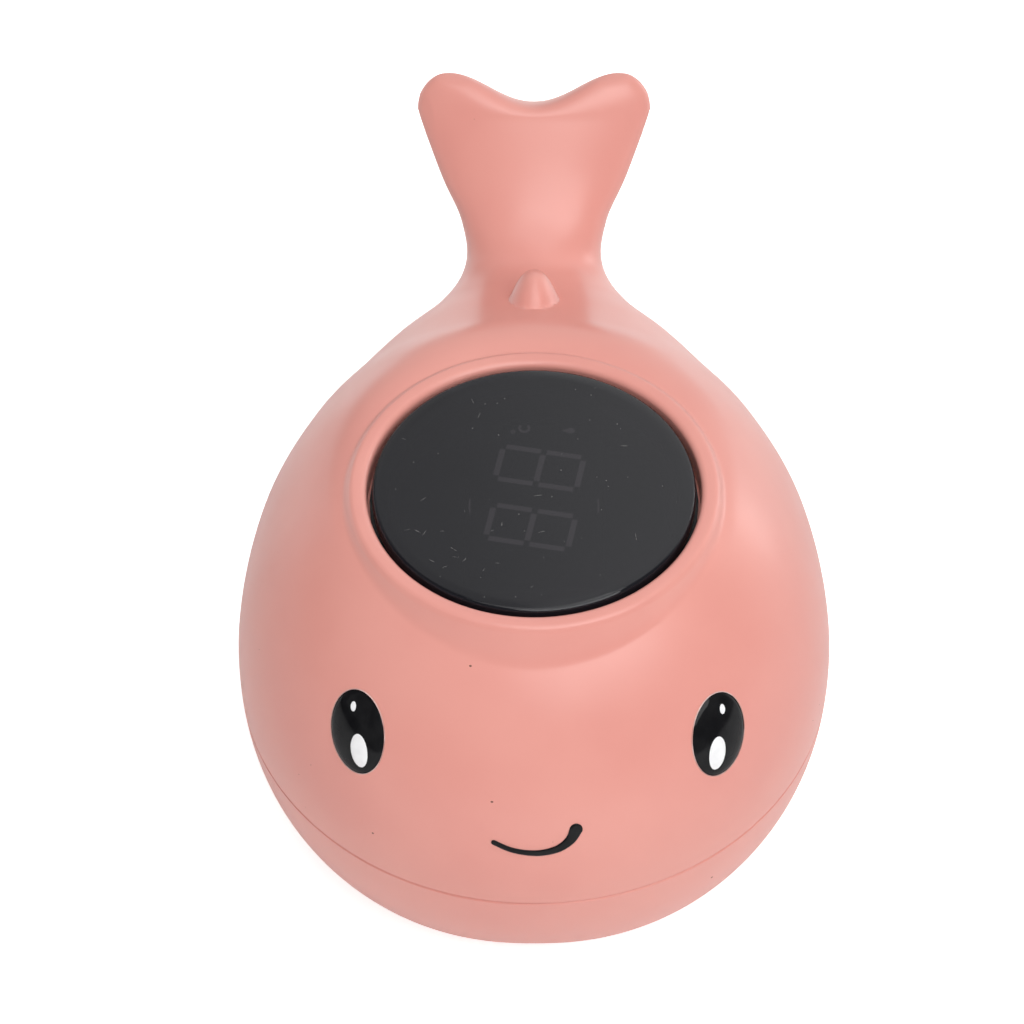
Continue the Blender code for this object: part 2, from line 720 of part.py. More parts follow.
def cover_plate(clearance, bottom, top):
    """Rounded plate with an ear at each side."""
    plate = mesh_object("plate", prism(cover_outline(clearance), bottom, top))
    for side in (-1, 1):
        ear = cylinder(EAR_RADIUS - GAP + clearance, bottom, top, (side * EAR_X, BAY_Y))
        join(plate, mesh_object("ear", ear))
        web = box(
            (min(0, side * EAR_X), BAY_Y - EAR_RADIUS + GAP - clearance, bottom),
            (max(0, side * EAR_X), BAY_Y + EAR_RADIUS - GAP + clearance, top))
        join(plate, mesh_object("web", web))
    return plate


def make_lower_shell(skin, material, parent):
    """Belly with its flat foot, battery bay and screw posts in one moulding."""
    shell = skin.body(0.0)
    cut(shell, slab(SEAM_HEIGHT - GAP / 2, FAR))
    hollow = skin.body(-WALL)
    keep(hollow, slab(FLOOR, FAR))
    cut(shell, hollow)
    outside = TONGUE_SKIRT + GAP
    root, top = SEAM_HEIGHT - TONGUE_HEIGHT, SEAM_HEIGHT + TONGUE_HEIGHT
    tongue = shell_band(skin, outside, outside + TONGUE_THICKNESS, root, top)
    join(shell, tongue)
    join(shell, lower_ribs(skin))
    cut(shell, slab(-FAR, 0.0))
    cut(shell, cover_plate(GAP, -OVERCUT, SEAL_BOTTOM))
    cut(shell, mesh_object("ledge", prism(cover_outline(GAP), -OVERCUT, BAY_LEDGE)))
    bay = box(
        (-BAY_HALF_WIDTH, BAY_Y - BAY_HALF_LENGTH, 0.0),
        (BAY_HALF_WIDTH, BAY_Y + BAY_HALF_LENGTH, BAY_TOP))
    cut(shell, mesh_object("bay", bay))
    for side in (-1, 1):
        place = (side * EAR_X, BAY_Y)
        hole = cylinder(COVER_SCREW_RADIUS + GAP, 0.0, COVER_SCREW_LENGTH + OVERCUT, place, 12)
        cut(shell, mesh_object("hole", hole))
        slot_y = BAY_Y + BAY_HALF_LENGTH - GAP - CONTACT_THICKNESS
        slot = box(
            (side * CELL_X - CONTACT_TAB - GAP, slot_y - GAP, BAY_TOP - OVERCUT),
            (side * CELL_X + CONTACT_TAB + GAP, slot_y + CONTACT_THICKNESS + GAP, FAR))
        cut(shell, mesh_object("slot", slot))
    for place in corners(HULL_SCREW_X, HULL_SCREW_Y):
        hole = cylinder(HULL_SCREW_RADIUS + GAP, -OVERCUT, FAR, place, 12)
        cut(shell, mesh_object("hole", hole))
        sink = cylinder(HULL_SCREW_HEAD + GAP, -OVERCUT, HULL_SCREW_SINK + GAP, place)
        cut(shell, mesh_object("sink", sink))
    for matrix, stem in zip(stud_places(skin), (SENSOR_STEM, PIN_STEM, PIN_STEM)):
        hole = mesh_object("hole", cylinder(stem + GAP, -2 * WALL, 2 * WALL, segments=20))
        hole.matrix_world = matrix
        cut(shell, hole)
    shell.name = "lower_shell"
    finish(shell, material, parent)
    return shell


def make_hull_seal(skin, material, parent):
    """Soft ring on the tongue of the lower shell."""
    bottom = SEAM_HEIGHT + TONGUE_HEIGHT + GAP
    outside = TONGUE_SKIRT + GAP
    seal = shell_band(skin, outside, outside + TONGUE_THICKNESS, bottom, bottom + SEAL_THICKNESS)
    seal.name = "hull_seal"
    finish(seal, material, parent)


def make_lens(material, parent):
    """Smoked window with a bevelled upper edge."""
    bevel = LENS_BEVEL
    profile = [
        (0.0, LENS_TOP), (LENS_RADIUS - bevel, LENS_TOP), (LENS_RADIUS, LENS_TOP - bevel),
        (LENS_RADIUS, LENS_BOTTOM), (0.0, LENS_BOTTOM)]
    mesh_object("display_lens", revolve(profile, RIM_SEGMENTS), material, parent)


def make_gasket(material, parent):
    """Flat ring between the lens and its ledge."""
    inner, outer = WINDOW_RADIUS + GAP, BORE_RADIUS - GAP
    top = GASKET_BOTTOM + GASKET_THICKNESS
    profile = [(inner, GASKET_BOTTOM), (outer, GASKET_BOTTOM), (outer, top), (inner, top)]
    mesh_object("lens_gasket", revolve(profile, RIM_SEGMENTS, ring=True), material, parent)


def make_electronics(materials, parent):
    """Display block, board and control chip, stacked under the lens."""
    display = mesh_object(
        "display_module", bevelled_box(DISPLAY_SIZE, DISPLAY_BEVEL), materials["black"], parent)
    display.location = (0.0, 0.0, BOARD_TOP + GAP + DISPLAY_SIZE[2] / 2)
    width, length, _ = BOARD_SIZE
    outline = rounded_rectangle(width / 2, length / 2, BOARD_CORNER)
    board = mesh_object("display_board", prism(outline, BOARD_BOTTOM, BOARD_TOP))
    for place in corners(BOARD_SCREW_X, BOARD_SCREW_Y):
        hole = cylinder(BOARD_SCREW_RADIUS + GAP, 0.0, FAR, place, 12)
        cut(board, mesh_object("hole", hole))
    finish(board, materials["board"], parent)
    chip = mesh_object(
        "control_chip", bevelled_box(CHIP_SIZE, CHIP_BEVEL), materials["black"], parent)
    chip.location = (0.0, 0.0, BOARD_BOTTOM - GAP - CHIP_SIZE[2] / 2)


def screw_mesh(radius, length, head, head_height):
    """Pan-head screw that points up, with its head's seat at Z = 0."""
    soft = head_height / 3
    profile = [
        (0.0, length), (radius, length - radius), (radius, 0.0), (head, 0.0),
        (head, soft - head_height), (head - soft, -head_height), (0.0, -head_height)]
    screw = mesh_object("screw", revolve(profile, 10))
    mesh = screw.data
    bpy.data.objects.remove(screw)
    return mesh


def place_screws(name, places, seat, mesh, material, parent):
    """One object for each screw, all with the same mesh."""
    for name_end, (x, y) in places:
        screw = bpy.data.objects.new(f"{name}_{name_end}", mesh)
        bpy.context.scene.collection.objects.link(screw)
        screw.location = (x, y, seat)
        finish(screw, material, parent)


def make_screws(material, parent):
    """Board screws, hull screws and cover screws."""
    board = screw_mesh(
        BOARD_SCREW_RADIUS, BOARD_SCREW_LENGTH - OVERCUT, BOARD_SCREW_HEAD, HEAD_HEIGHT)
    places = list(enumerate(corners(BOARD_SCREW_X, BOARD_SCREW_Y), start=1))
    place_screws("board_screw", places, BOARD_BOTTOM - GAP, board, material, parent)
    hull = screw_mesh(HULL_SCREW_RADIUS, HULL_SCREW_LENGTH, HULL_SCREW_HEAD, HEAD_HEIGHT)
    places = list(enumerate(corners(HULL_SCREW_X, HULL_SCREW_Y), start=1))
    place_screws("hull_screw", places, HULL_SCREW_SINK, hull, material, parent)
    cover = screw_mesh(
        COVER_SCREW_RADIUS, COVER_SCREW_LENGTH - 2 * OVERCUT, COVER_SCREW_HEAD, HEAD_HEIGHT)
    places = (("left", (-EAR_X, BAY_Y)), ("right", (EAR_X, BAY_Y)))
    place_screws("cover_screw", places, COVER_SCREW_SEAT, cover, material, parent)


def make_cover(skin, materials, parent):
    """Battery cover, flush with the belly, and the soft ring above it."""
    cover = cover_plate(0.0, 0.0, COVER_THICKNESS)
    keep(cover, skin.body(0.0))
    for side in (-1, 1):
        place = (side * EAR_X, BAY_Y)
        hole = cylinder(COVER_SCREW_RADIUS + GAP, -OVERCUT, FAR, place, 12)
        cut(cover, mesh_object("hole", hole))
        sink = cylinder(COVER_SCREW_HEAD + GAP, -OVERCUT, COVER_SCREW_SEAT + GAP, place)
        cut(cover, mesh_object("sink", sink))
    cover.name = "battery_cover"
    finish(cover, materials["body"], parent)
    ring = prism(cover_outline(-GAP / 2), SEAL_BOTTOM, SEAL_BOTTOM + COVER_SEAL)
    seal = mesh_object("cover_seal", ring)
    hole = rounded_rectangle(
        BAY_HALF_WIDTH + GAP / 2, BAY_HALF_LENGTH + GAP / 2, COVER_CORNER - COVER_LEDGE, BAY_Y)
    cut(seal, mesh_object("hole", prism(hole, 0.0, FAR)))
    finish(seal, materials["rubber"], parent)


def cell_mesh():
    """Dry cell along Z with its nub on top, centred on its length."""
    half, soft = CELL_LENGTH / 2, CELL_ROUNDING
    can_top = half - CELL_NUB_LENGTH
    return revolve([
        (0.0, half), (CELL_NUB_RADIUS, half), (CELL_NUB_RADIUS, can_top),
        (CELL_RADIUS - soft, can_top), (CELL_RADIUS, can_top - soft), (CELL_RADIUS, soft - half),
        (CELL_RADIUS - soft, -half), (0.0, -half)], 20)


def wire(name, points, radius, material, parent):
    """Round wire with closed ends through a list of points."""
    curve = bpy.data.curves.new(name, "CURVE")
    curve.dimensions = "3D"
    curve.bevel_depth = radius
    curve.bevel_resolution = 1
    curve.use_fill_caps = True
    line = curve.splines.new("POLY")
    line.points.add(len(points) - 1)
    for target, point in zip(line.points, points):
        target.co = (*point, 1.0)
    piece = bpy.data.objects.new(name, curve)
    bpy.context.scene.collection.objects.link(piece)
    piece.data.materials.append(material)
    piece.parent = parent
    return piece


def spring_points(x, start_y, direction):
    """Cone spring along Y that narrows away from its contact plate."""
    points = []
    count = int(SPRING_TURNS * SPRING_TURN_POINTS)
    for step in range(count + 1):
        share = step / count
        angle = 2 * math.pi * SPRING_TURNS * share
        narrowing = (SPRING_WIDE_SHARE - SPRING_NARROW_SHARE) * share
        radius = (SPRING_WIDE_SHARE - narrowing) * CELL_RADIUS
        y = start_y + direction * (SPRING_WIRE + share * (SPRING_LENGTH - 2 * SPRING_WIRE))
        points.append((x + radius * math.cos(angle), y, CELL_Z + radius * math.sin(angle)))
    return points


def contact_plate(half_width, x, y, tab):
    """Flat contact against the end wall of the bay, with a tab through the roof."""
    low, high = CELL_Z - CONTACT_HALF_WIDTH, CELL_Z + CONTACT_HALF_WIDTH
    plate = mesh_object("plate", box(
        (x - half_width, y, low), (x + half_width, y + CONTACT_THICKNESS, high)))
    if tab:
        strip = box(
            (x - CONTACT_TAB, y, CELL_Z), (x + CONTACT_TAB, y + CONTACT_THICKNESS, CONTACT_TAB_TOP))
        join(plate, mesh_object("strip", strip))
    return plate


def make_power(materials, parent):
    """Two cells side by side, their contacts and their springs."""
    front = BAY_Y - BAY_HALF_LENGTH + GAP
    rear = BAY_Y + BAY_HALF_LENGTH - GAP - CONTACT_THICKNESS
    shift = (SPRING_LENGTH + GAP) / 2
    for name, side in (("battery_left", -1), ("battery_right", 1)):
        cell = mesh_object(name, cell_mesh(), materials["cell"], parent)
        cell.location = (side * CELL_X, BAY_Y - side * shift, CELL_Z)
        cell.rotation_euler = (side * math.pi / 2, 0.0, 0.0)
    link = contact_plate(CELL_X + CONTACT_HALF_WIDTH, 0.0, front, tab=False)
    link.name = "link_contact"
    finish(link, materials["steel"], parent)
    for name, side in (("positive_terminal", -1), ("negative_terminal", 1)):
        terminal = contact_plate(CONTACT_HALF_WIDTH, side * CELL_X, rear, tab=True)
        terminal.name = name
        finish(terminal, materials["steel"], parent)
    ends = (("link_spring", -CELL_X, front + CONTACT_THICKNESS + GAP, 1),
            ("negative_spring", CELL_X, rear - GAP, -1))
    for name, x, start_y, direction in ends:
        points = spring_points(x, start_y, direction)
        wire(name, points, SPRING_WIRE, materials["steel"], parent)


def stud_profile(flange, stem):
    """Solid stud with a domed flange outside the belly and a stem through it."""
    dome = [(flange * out, GAP + FLANGE_HEIGHT * up) for out, up in STUD_DOME_SHARES]
    return [*dome, (flange, GAP), (stem, GAP), (stem, -STEM_LENGTH)]


def make_studs(skin, materials, parent):
    """Sensor cap with its bead, and the two water contacts."""
    sensor, left, right = stud_places(skin)
    inside = SENSOR_STEM - SENSOR_WALL
    profile = stud_profile(SENSOR_FLANGE, SENSOR_STEM)
    profile += [(inside, -STEM_LENGTH), (inside, 0.0), (0.0, 0.0)]
    cap = mesh_object("sensor_cap", revolve(profile, 16), materials["steel"], parent)
    cap.matrix_world = sensor
    soft = BEAD_RADIUS / 2
    bead_profile = [
        (0.0, 0.0), (BEAD_RADIUS - soft, 0.0), (BEAD_RADIUS, -soft),
        (BEAD_RADIUS, soft - BEAD_LENGTH), (BEAD_RADIUS - soft, -BEAD_LENGTH), (0.0, -BEAD_LENGTH)]
    bead = mesh_object("thermistor", revolve(bead_profile, 12), materials["black"], parent)
    bead.matrix_world = sensor @ Matrix.Translation((0.0, 0.0, -GAP))
    for name, matrix in (("water_pin_left", left), ("water_pin_right", right)):
        profile = stud_profile(PIN_FLANGE, PIN_STEM) + [(0.0, -STEM_LENGTH)]
        pin = mesh_object(name, revolve(profile, 12), materials["steel"], parent)
        pin.matrix_world = matrix


def smooth_route(stops, count):
    """Points of a smooth curve through a few stops."""
    chain = [stops[0], *stops, stops[-1]]
    points = []
    for step in range(count):
        place = step / (count - 1) * (len(stops) - 1)
        start = min(int(place), len(stops) - 2)
        points.append(blend_points(*chain[start:start + 4], place - start))
    return points


def make_wires(skin, materials, parent):
    """Leads from the thermistor, the water contacts and the terminals to the board."""
    sensor, left, right = stud_places(skin)
    end_z = BOARD_BOTTOM - GAP
    lead_z = BOARD_BOTTOM - WIRE_DROP
    leads = []
    for side, word in ((-1, "left"), (1, "right")):
        root = sensor @ Vector((0.0, 0.0, -GAP * 2 - BEAD_LENGTH))
        root.x += side * WIRE_SPREAD / 2
        leads.append((f"sensor_wire_{word}", root, sensor, side * WIRE_SPREAD, "white"))
        pin = left if side < 0 else right
        root = pin @ Vector((0.0, 0.0, -STEM_LENGTH - GAP))
        end_x = side * PIN_WIRE_SPREADS * WIRE_SPREAD
        leads.append((f"pin_wire_{word}", root, pin, end_x, "yellow"))
    for name, root, stud, end_x, colour in leads:
        away = root + stud.to_3x3() @ Vector((0.0, 0.0, -WIRE_LEAD))
        above_bay = Vector((away.x, away.y, BAY_BLOCK_TOP + WIRE_ABOVE_BAY))
        stops = [root, away, above_bay, Vector((end_x, WIRE_END_Y, lead_z)),
                 Vector((end_x, WIRE_END_Y, end_z))]
        wire(name, smooth_route(stops, WIRE_POINTS), WIRE_RADIUS, materials[colour], parent)
    tab_y = BAY_Y + BAY_HALF_LENGTH - GAP - CONTACT_THICKNESS / 2
    for name, side, colour in (("battery_wire_red", -1, "red"), ("battery_wire_black", 1, "black")):
        root = Vector((side * CELL_X, tab_y, CONTACT_TAB_TOP + GAP))
        end_x = side * BATTERY_WIRE_SPREADS * WIRE_SPREAD
        stops = [root, root + Vector((0.0, 0.0, WIRE_RISE)), Vector((end_x, WIRE_END_Y, lead_z)),
                 Vector((end_x, WIRE_END_Y, end_z))]
        wire(name, smooth_route(stops, WIRE_POINTS), WIRE_RADIUS, materials[colour], parent)


def make_face(skin, materials, parent):
    """Eyes with their glints, and the smile."""
    for side, matrix in eye_frames(skin):
        word = "left" if side < 0 else "right"
        outline = ellipse(EYE_HALF_WIDTH, EYE_HALF_HEIGHT)
        eye = patch(skin, matrix, outline, -EYE_DEPTH, EYE_PROUD)
        eye.name = f"{word}_eye"
        finish(settle(eye), materials["eye"], parent)
        glints = (("large", LARGE_GLINT), ("small", SMALL_GLINT))
        for size, (half_x, half_y, outward, upward) in glints:
            outline = ellipse(half_x, half_y, (side * outward, upward), GLINT_POINTS)
            low = EYE_PROUD + GAP
            glint = patch(skin, matrix, outline, low, low + GLINT_THICKNESS)
            glint.name = f"{word}_glint_{size}"
            finish(settle(glint), materials["white"], parent)
    make_smile(skin, materials["eye"], parent)


def make_smile(skin, material, parent):
    """Stroke that widens to its right end, printed round the nose."""
    line = smooth_route([Vector((x, z, 0.0)) for x, z in SMILE_LINE], 17)
    left_edge, right_edge = [], []
    for index, point in enumerate(line):
        share = index / (len(line) - 1)
        before = Vector(line[max(index - 1, 0)])
        after = Vector(line[min(index + 1, len(line) - 1)])
        along = (after - before).normalized()
        side = Vector((-along.y, along.x, 0.0))
        half = (SMILE_START_WIDTH + (SMILE_END_WIDTH - SMILE_START_WIDTH) * share ** 2) / 2
        left_edge.append(Vector(point) + side * half)
        right_edge.append(Vector(point) - side * half)
    start, end = Vector(line[0]), Vector(line[-1])
    outline = [(p.x, p.y) for p in right_edge]
    outline += round_end(end, right_edge[-1], SMILE_END_WIDTH / 2)
    outline += [(p.x, p.y) for p in reversed(left_edge)]
    outline += round_end(start, left_edge[0], SMILE_START_WIDTH / 2)
    matrix = Matrix.Translation((0.0, -NOSE_LENGTH, 0.0)) @ Matrix.Rotation(math.pi / 2, 4, "X")
    smile = patch(skin, matrix, outline, GAP, GAP + SMILE_THICKNESS)
    smile.name = "smile"
    finish(settle(smile), material, parent)


def round_end(centre, edge, radius, steps=5):
    """Half circle that closes the end of a stroke, without its end points."""
    first = math.atan2(edge.y - centre.y, edge.x - centre.x)
    angles = [first + math.pi * step / steps for step in range(1, steps)]
    return [(centre.x + radius * math.cos(a), centre.y + radius * math.sin(a)) for a in angles]


def make_materials():
    """Finishes as the photograph shows them."""
    return {
        "body": plastic("salmon_plastic", (0.80, 0.36, 0.30), 0.38),
        "lens": plastic("smoked_acrylic", (0.02, 0.02, 0.024), 0.08),
        "eye": plastic("gloss_black", (0.008, 0.008, 0.009), 0.12),
        "white": plastic("white_print", (0.80, 0.80, 0.80), 0.35),
        "rubber": plastic("soft_rubber", (0.55, 0.55, 0.55), 0.7),
        "steel": plastic("steel", (0.62, 0.62, 0.63), 0.25, 1.0),
        "board": plastic("green_board", (0.02, 0.16, 0.06), 0.5),
        "black": plastic("black_plastic", (0.015, 0.015, 0.017), 0.45),
        "cell": plastic("cell_can", (0.10, 0.10, 0.11), 0.35),
        "red": plastic("red_wire", (0.55, 0.02, 0.02), 0.5),
        "yellow": plastic("yellow_wire", (0.70, 0.45, 0.03), 0.5),
    }


def main():
    clear_scene()
    parent = bpy.data.objects.new("bath_thermometer", None)
    bpy.context.scene.collection.objects.link(parent)
    materials = make_materials()
    skin = Skin()
    make_upper_shell(skin, materials["body"], parent)
    make_lower_shell(skin, materials["body"], parent)
    make_hull_seal(skin, materials["rubber"], parent)
    make_lens(materials["lens"], parent)
    make_gasket(materials["rubber"], parent)
    make_electronics(materials, parent)
    make_screws(materials["steel"], parent)
    make_cover(skin, materials, parent)
    make_power(materials, parent)
    make_studs(skin, materials, parent)
    make_wires(skin, materials, parent)
    make_face(skin, materials, parent)


main()
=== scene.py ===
# %% [markdown]
# # A whale-shaped bath thermometer
# This lesson dresses a CAD model of a small floating bath thermometer. The CAD model already has
# every piece in its place, so each new piece is built in the same coordinates, in metres. The face
# looks along -Y, the tail rises towards +Y, and the flat foot stands on Z = 0. First the frame is
# loaded.

# %% Load the frame
import math

import bmesh
import bpy
import numpy as np
from mathutils import Matrix, Vector
from mathutils.bvhtree import BVHTree


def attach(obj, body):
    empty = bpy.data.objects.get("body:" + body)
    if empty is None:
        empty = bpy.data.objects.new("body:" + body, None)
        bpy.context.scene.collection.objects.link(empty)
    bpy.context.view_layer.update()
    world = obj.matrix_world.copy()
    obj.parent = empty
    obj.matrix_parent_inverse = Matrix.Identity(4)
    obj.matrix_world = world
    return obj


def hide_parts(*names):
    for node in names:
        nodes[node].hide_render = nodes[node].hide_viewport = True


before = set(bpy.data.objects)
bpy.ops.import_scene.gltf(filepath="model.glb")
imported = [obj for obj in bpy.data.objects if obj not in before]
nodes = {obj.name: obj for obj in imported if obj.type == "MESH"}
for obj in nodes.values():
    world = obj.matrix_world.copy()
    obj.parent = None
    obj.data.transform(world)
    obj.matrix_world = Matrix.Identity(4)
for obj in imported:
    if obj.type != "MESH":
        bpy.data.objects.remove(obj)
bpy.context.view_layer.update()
MM = 0.001

# %% [markdown]
# ## The camera
# The photograph looks down on the whale from the front. How squashed the round window looks gives
# the angle, 49.7 degrees above the floor. A long lens from half a metre away keeps the perspective
# gentle. A small shift puts the whale where it stands in the picture, without turning the camera.

# %% Camera
scene = bpy.context.scene
PHOTO_SIZE = 1024
CAMERA_ANGLE = math.radians(49.7)
CAMERA_DISTANCE = 480 * MM
LOOK_AT = Vector((0, 8 * MM, 30 * MM))
view_line = Vector((0, math.cos(CAMERA_ANGLE), -math.sin(CAMERA_ANGLE)))
camera_data = bpy.data.cameras.new("camera")
camera_data.sensor_width = 36
camera_data.lens = 3758 / PHOTO_SIZE * camera_data.sensor_width
camera_data.shift_x = -22 / PHOTO_SIZE
camera_data.shift_y = 62 / PHOTO_SIZE
camera = bpy.data.objects.new("camera", camera_data)
camera.location = LOOK_AT - view_line * CAMERA_DISTANCE
camera.rotation_euler = view_line.to_track_quat("-Z", "Y").to_euler()
scene.collection.objects.link(camera)
scene.camera = camera
print("lens in mm:", round(camera_data.lens, 1))

# %% [markdown]
# ## The studio
# The photograph was taken on a white sweep in a dim room, under large soft boxes. The world is that
# room: it is plain white to the camera, white behind the whale for mirror-like rays, dark on the
# camera's side, and a plain pale light for everything else. The dark side is what keeps the glossy
# eyes black. The floor is a wide sheet whose own light makes it white in the picture and leaves the
# soft shadow of the whale on it.

# %% Node helpers
def new_material(name):
    """An empty node material; returns the material, its tree and its output node."""
    material = bpy.data.materials.new(name)
    material.use_nodes = True
    tree = material.node_tree
    tree.nodes.clear()
    return material, tree, tree.nodes.new("ShaderNodeOutputMaterial")


def node(tree, kind, **settings):
    """Add a node; a setting is one of its properties, or else the value of an input."""
    made = tree.nodes.new(kind)
    for key, value in settings.items():
        if hasattr(made, key):
            setattr(made, key, value)
        else:
            made.inputs[key.replace("_", " ")].default_value = value
    return made


def put(tree, value, socket):
    """Link a socket, or set a number or a colour of three numbers."""
    if isinstance(value, bpy.types.NodeSocket):
        tree.links.new(value, socket)
    else:
        socket.default_value = (*value, 1.0) if isinstance(value, tuple) else value


def maths(tree, operation, first, second=0.0):
    """A Math node on sockets or numbers."""
    made = node(tree, "ShaderNodeMath", operation=operation)
    for socket, value in zip(made.inputs, (first, second)):
        put(tree, value, socket)
    return made.outputs[0]


def spread(tree, value, low, high, out_low=0.0, out_high=1.0, smooth=True):
    """Map a value from one range to another, held inside it."""
    made = node(tree, "ShaderNodeMapRange", interpolation_type="SMOOTHSTEP" if smooth else "LINEAR",
                From_Min=low, From_Max=high, To_Min=out_low, To_Max=out_high)
    tree.links.new(value, made.inputs["Value"])
    return made.outputs["Result"]


def mix_shaders(tree, share, first, second):
    """Mix two shaders by a socket."""
    made = node(tree, "ShaderNodeMixShader")
    for socket, value in zip(made.inputs, (share, first, second)):
        put(tree, value, socket)
    return made.outputs[0]


# %% World
ROOM_LIGHT = 0.37
DARK_SIDE = 0.10

world = bpy.data.worlds.new("studio")
world.use_nodes = True
tree = world.node_tree
tree.nodes.clear()
direction = node(tree, "ShaderNodeSeparateXYZ")
tree.links.new(node(tree, "ShaderNodeTexCoord").outputs["Generated"], direction.inputs[0])
behind = spread(tree, direction.outputs["Y"], 0.05, 0.35, DARK_SIDE, 1.0)
sideways = spread(tree, direction.outputs["X"], -0.05, 0.05, 0.85, 1.4)
far_left = spread(tree, direction.outputs["X"], -0.75, -0.3, 0.3, 1.0)
mirrored = node(tree, "ShaderNodeBackground", Color=(1, 1, 1, 1))
strength = maths(tree, "MULTIPLY", maths(tree, "MULTIPLY", behind, sideways), far_left)
tree.links.new(strength, mirrored.inputs["Strength"])
plain = node(tree, "ShaderNodeBackground", Color=(1, 0.99, 0.985, 1), Strength=ROOM_LIGHT)
white = node(tree, "ShaderNodeBackground", Color=(1, 1, 1, 1), Strength=1.0)
rays = node(tree, "ShaderNodeLightPath")
shiny = maths(tree, "MAXIMUM", rays.outputs["Is Glossy Ray"], rays.outputs["Is Transmission Ray"])
room = mix_shaders(tree, shiny, plain.outputs[0], mirrored.outputs[0])
sky = mix_shaders(tree, rays.outputs["Is Camera Ray"], room, white.outputs[0])
tree.links.new(sky, tree.nodes.new("ShaderNodeOutputWorld").inputs["Surface"])
scene.world = world

# %% Floor
FLOOR_SIZE = 3.0
FLOOR_GLOW = 0.62
half = FLOOR_SIZE / 2
floor_mesh = bpy.data.meshes.new("floor")
floor_mesh.from_pydata(
    [(-half, -half, 0), (half, -half, 0), (half, half, 0), (-half, half, 0)], [], [(0, 1, 2, 3)])
floor = bpy.data.objects.new("floor", floor_mesh)
scene.collection.objects.link(floor)
material, tree, output = new_material("white_sweep")
matte = node(tree, "ShaderNodeBsdfDiffuse", Color=(0.95, 0.95, 0.95, 1))
glow = node(tree, "ShaderNodeEmission", Color=(1, 1, 1, 1), Strength=FLOOR_GLOW)
both = node(tree, "ShaderNodeAddShader")
tree.links.new(matte.outputs[0], both.inputs[0])
tree.links.new(glow.outputs[0], both.inputs[1])
rays = node(tree, "ShaderNodeLightPath")
place = node(tree, "ShaderNodeSeparateXYZ")
tree.links.new(node(tree, "ShaderNodeTexCoord").outputs["Object"], place.inputs[0])
far_back = spread(tree, place.outputs["Y"], 0.03, 0.2)
mirrored = maths(tree, "MULTIPLY", rays.outputs["Is Glossy Ray"], far_back)
seen = maths(tree, "MAXIMUM", rays.outputs["Is Camera Ray"], mirrored)
tree.links.new(mix_shaders(tree, seen, matte.outputs[0], both.outputs[0]), output.inputs["Surface"])
floor_mesh.materials.append(material)


# %% Lamps
def lamp(name, place, size, radiance):
    """A soft box that faces the whale; radiance is how bright it looks, where 1 is white."""
    data = bpy.data.lights.new(name, "AREA")
    data.shape = "RECTANGLE"
    data.size, data.size_y = size
    data.energy = radiance * math.pi * size[0] * size[1]
    made = bpy.data.objects.new(name, data)
    made.location = place
    made.rotation_euler = (LOOK_AT - made.location).to_track_quat("-Z", "Y").to_euler()
    scene.collection.objects.link(made)


lamp("key_box", Vector((0.26, -0.48, 0.76)), (0.75, 0.6), 3.7)
lamp("fill_box", Vector((-0.62, -0.30, 0.42)), (0.5, 0.6), 0.2)
lamp("top_box", Vector((0.05, -0.05, 0.95)), (0.7, 0.45), 2.0)
lamp("right_strip", Vector((0.62, 0.40, 0.10)), (0.22, 0.36), 2.3)
lamp("left_strip", Vector((-0.62, 0.40, 0.10)), (0.22, 0.36), 0.8)

# %% [markdown]
# ## The finishes
# The hull is moulded in salmon ABS with a satin face. Up close such plastic is never one flat
# colour: pigment drifts a little over centimetres, the polish of the tool leaves a fine unevenness,
# and a few dark specks and dust grains stick to it. Each finish below is built from noise on
# Object coordinates, which sit still on the piece, and mixes that noise into colour, roughness and
# bump by small amounts.

# %% Helpers for noise-based finishes
def grain(tree, scale, detail=2.0, axis=None, length=1.0):
    """Noise on Object coordinates, in bumps a metre, drawn out along an axis if one is given."""
    place = node(tree, "ShaderNodeTexCoord").outputs["Object"]
    if axis is not None:
        mapping = node(tree, "ShaderNodeMapping")
        mapping.inputs["Scale"].default_value[axis] = 1 / length
        tree.links.new(place, mapping.inputs["Vector"])
        place = mapping.outputs[0]
    texture = node(tree, "ShaderNodeTexNoise", Scale=scale, Detail=detail)
    tree.links.new(place, texture.inputs["Vector"])
    return texture.outputs[0]


def blend_colour(tree, share, first, second):
    """Mix two colours by a share; each colour is a socket or three numbers."""
    made = node(tree, "ShaderNodeMix", data_type="RGBA")
    for index, value in ((0, share), (6, first), (7, second)):
        put(tree, value, made.inputs[index])
    return made.outputs[2]


def bump(tree, height, strength, distance, before=None):
    """Turn a height into a bump, on top of another one if given."""
    made = node(tree, "ShaderNodeBump", Strength=strength, Distance=distance)
    tree.links.new(height, made.inputs["Height"])
    if before is not None:
        tree.links.new(before, made.inputs["Normal"])
    return made.outputs["Normal"]


def finish_with(tree, output, colour, roughness, normal, **fixed):
    """One Principled shader; colour and roughness are sockets or constants."""
    shader = node(tree, "ShaderNodeBsdfPrincipled", **fixed)
    for name, value in (("Base Color", colour), ("Roughness", roughness), ("Normal", normal)):
        put(tree, value, shader.inputs[name])
    tree.links.new(shader.outputs[0], output.inputs["Surface"])
    return shader


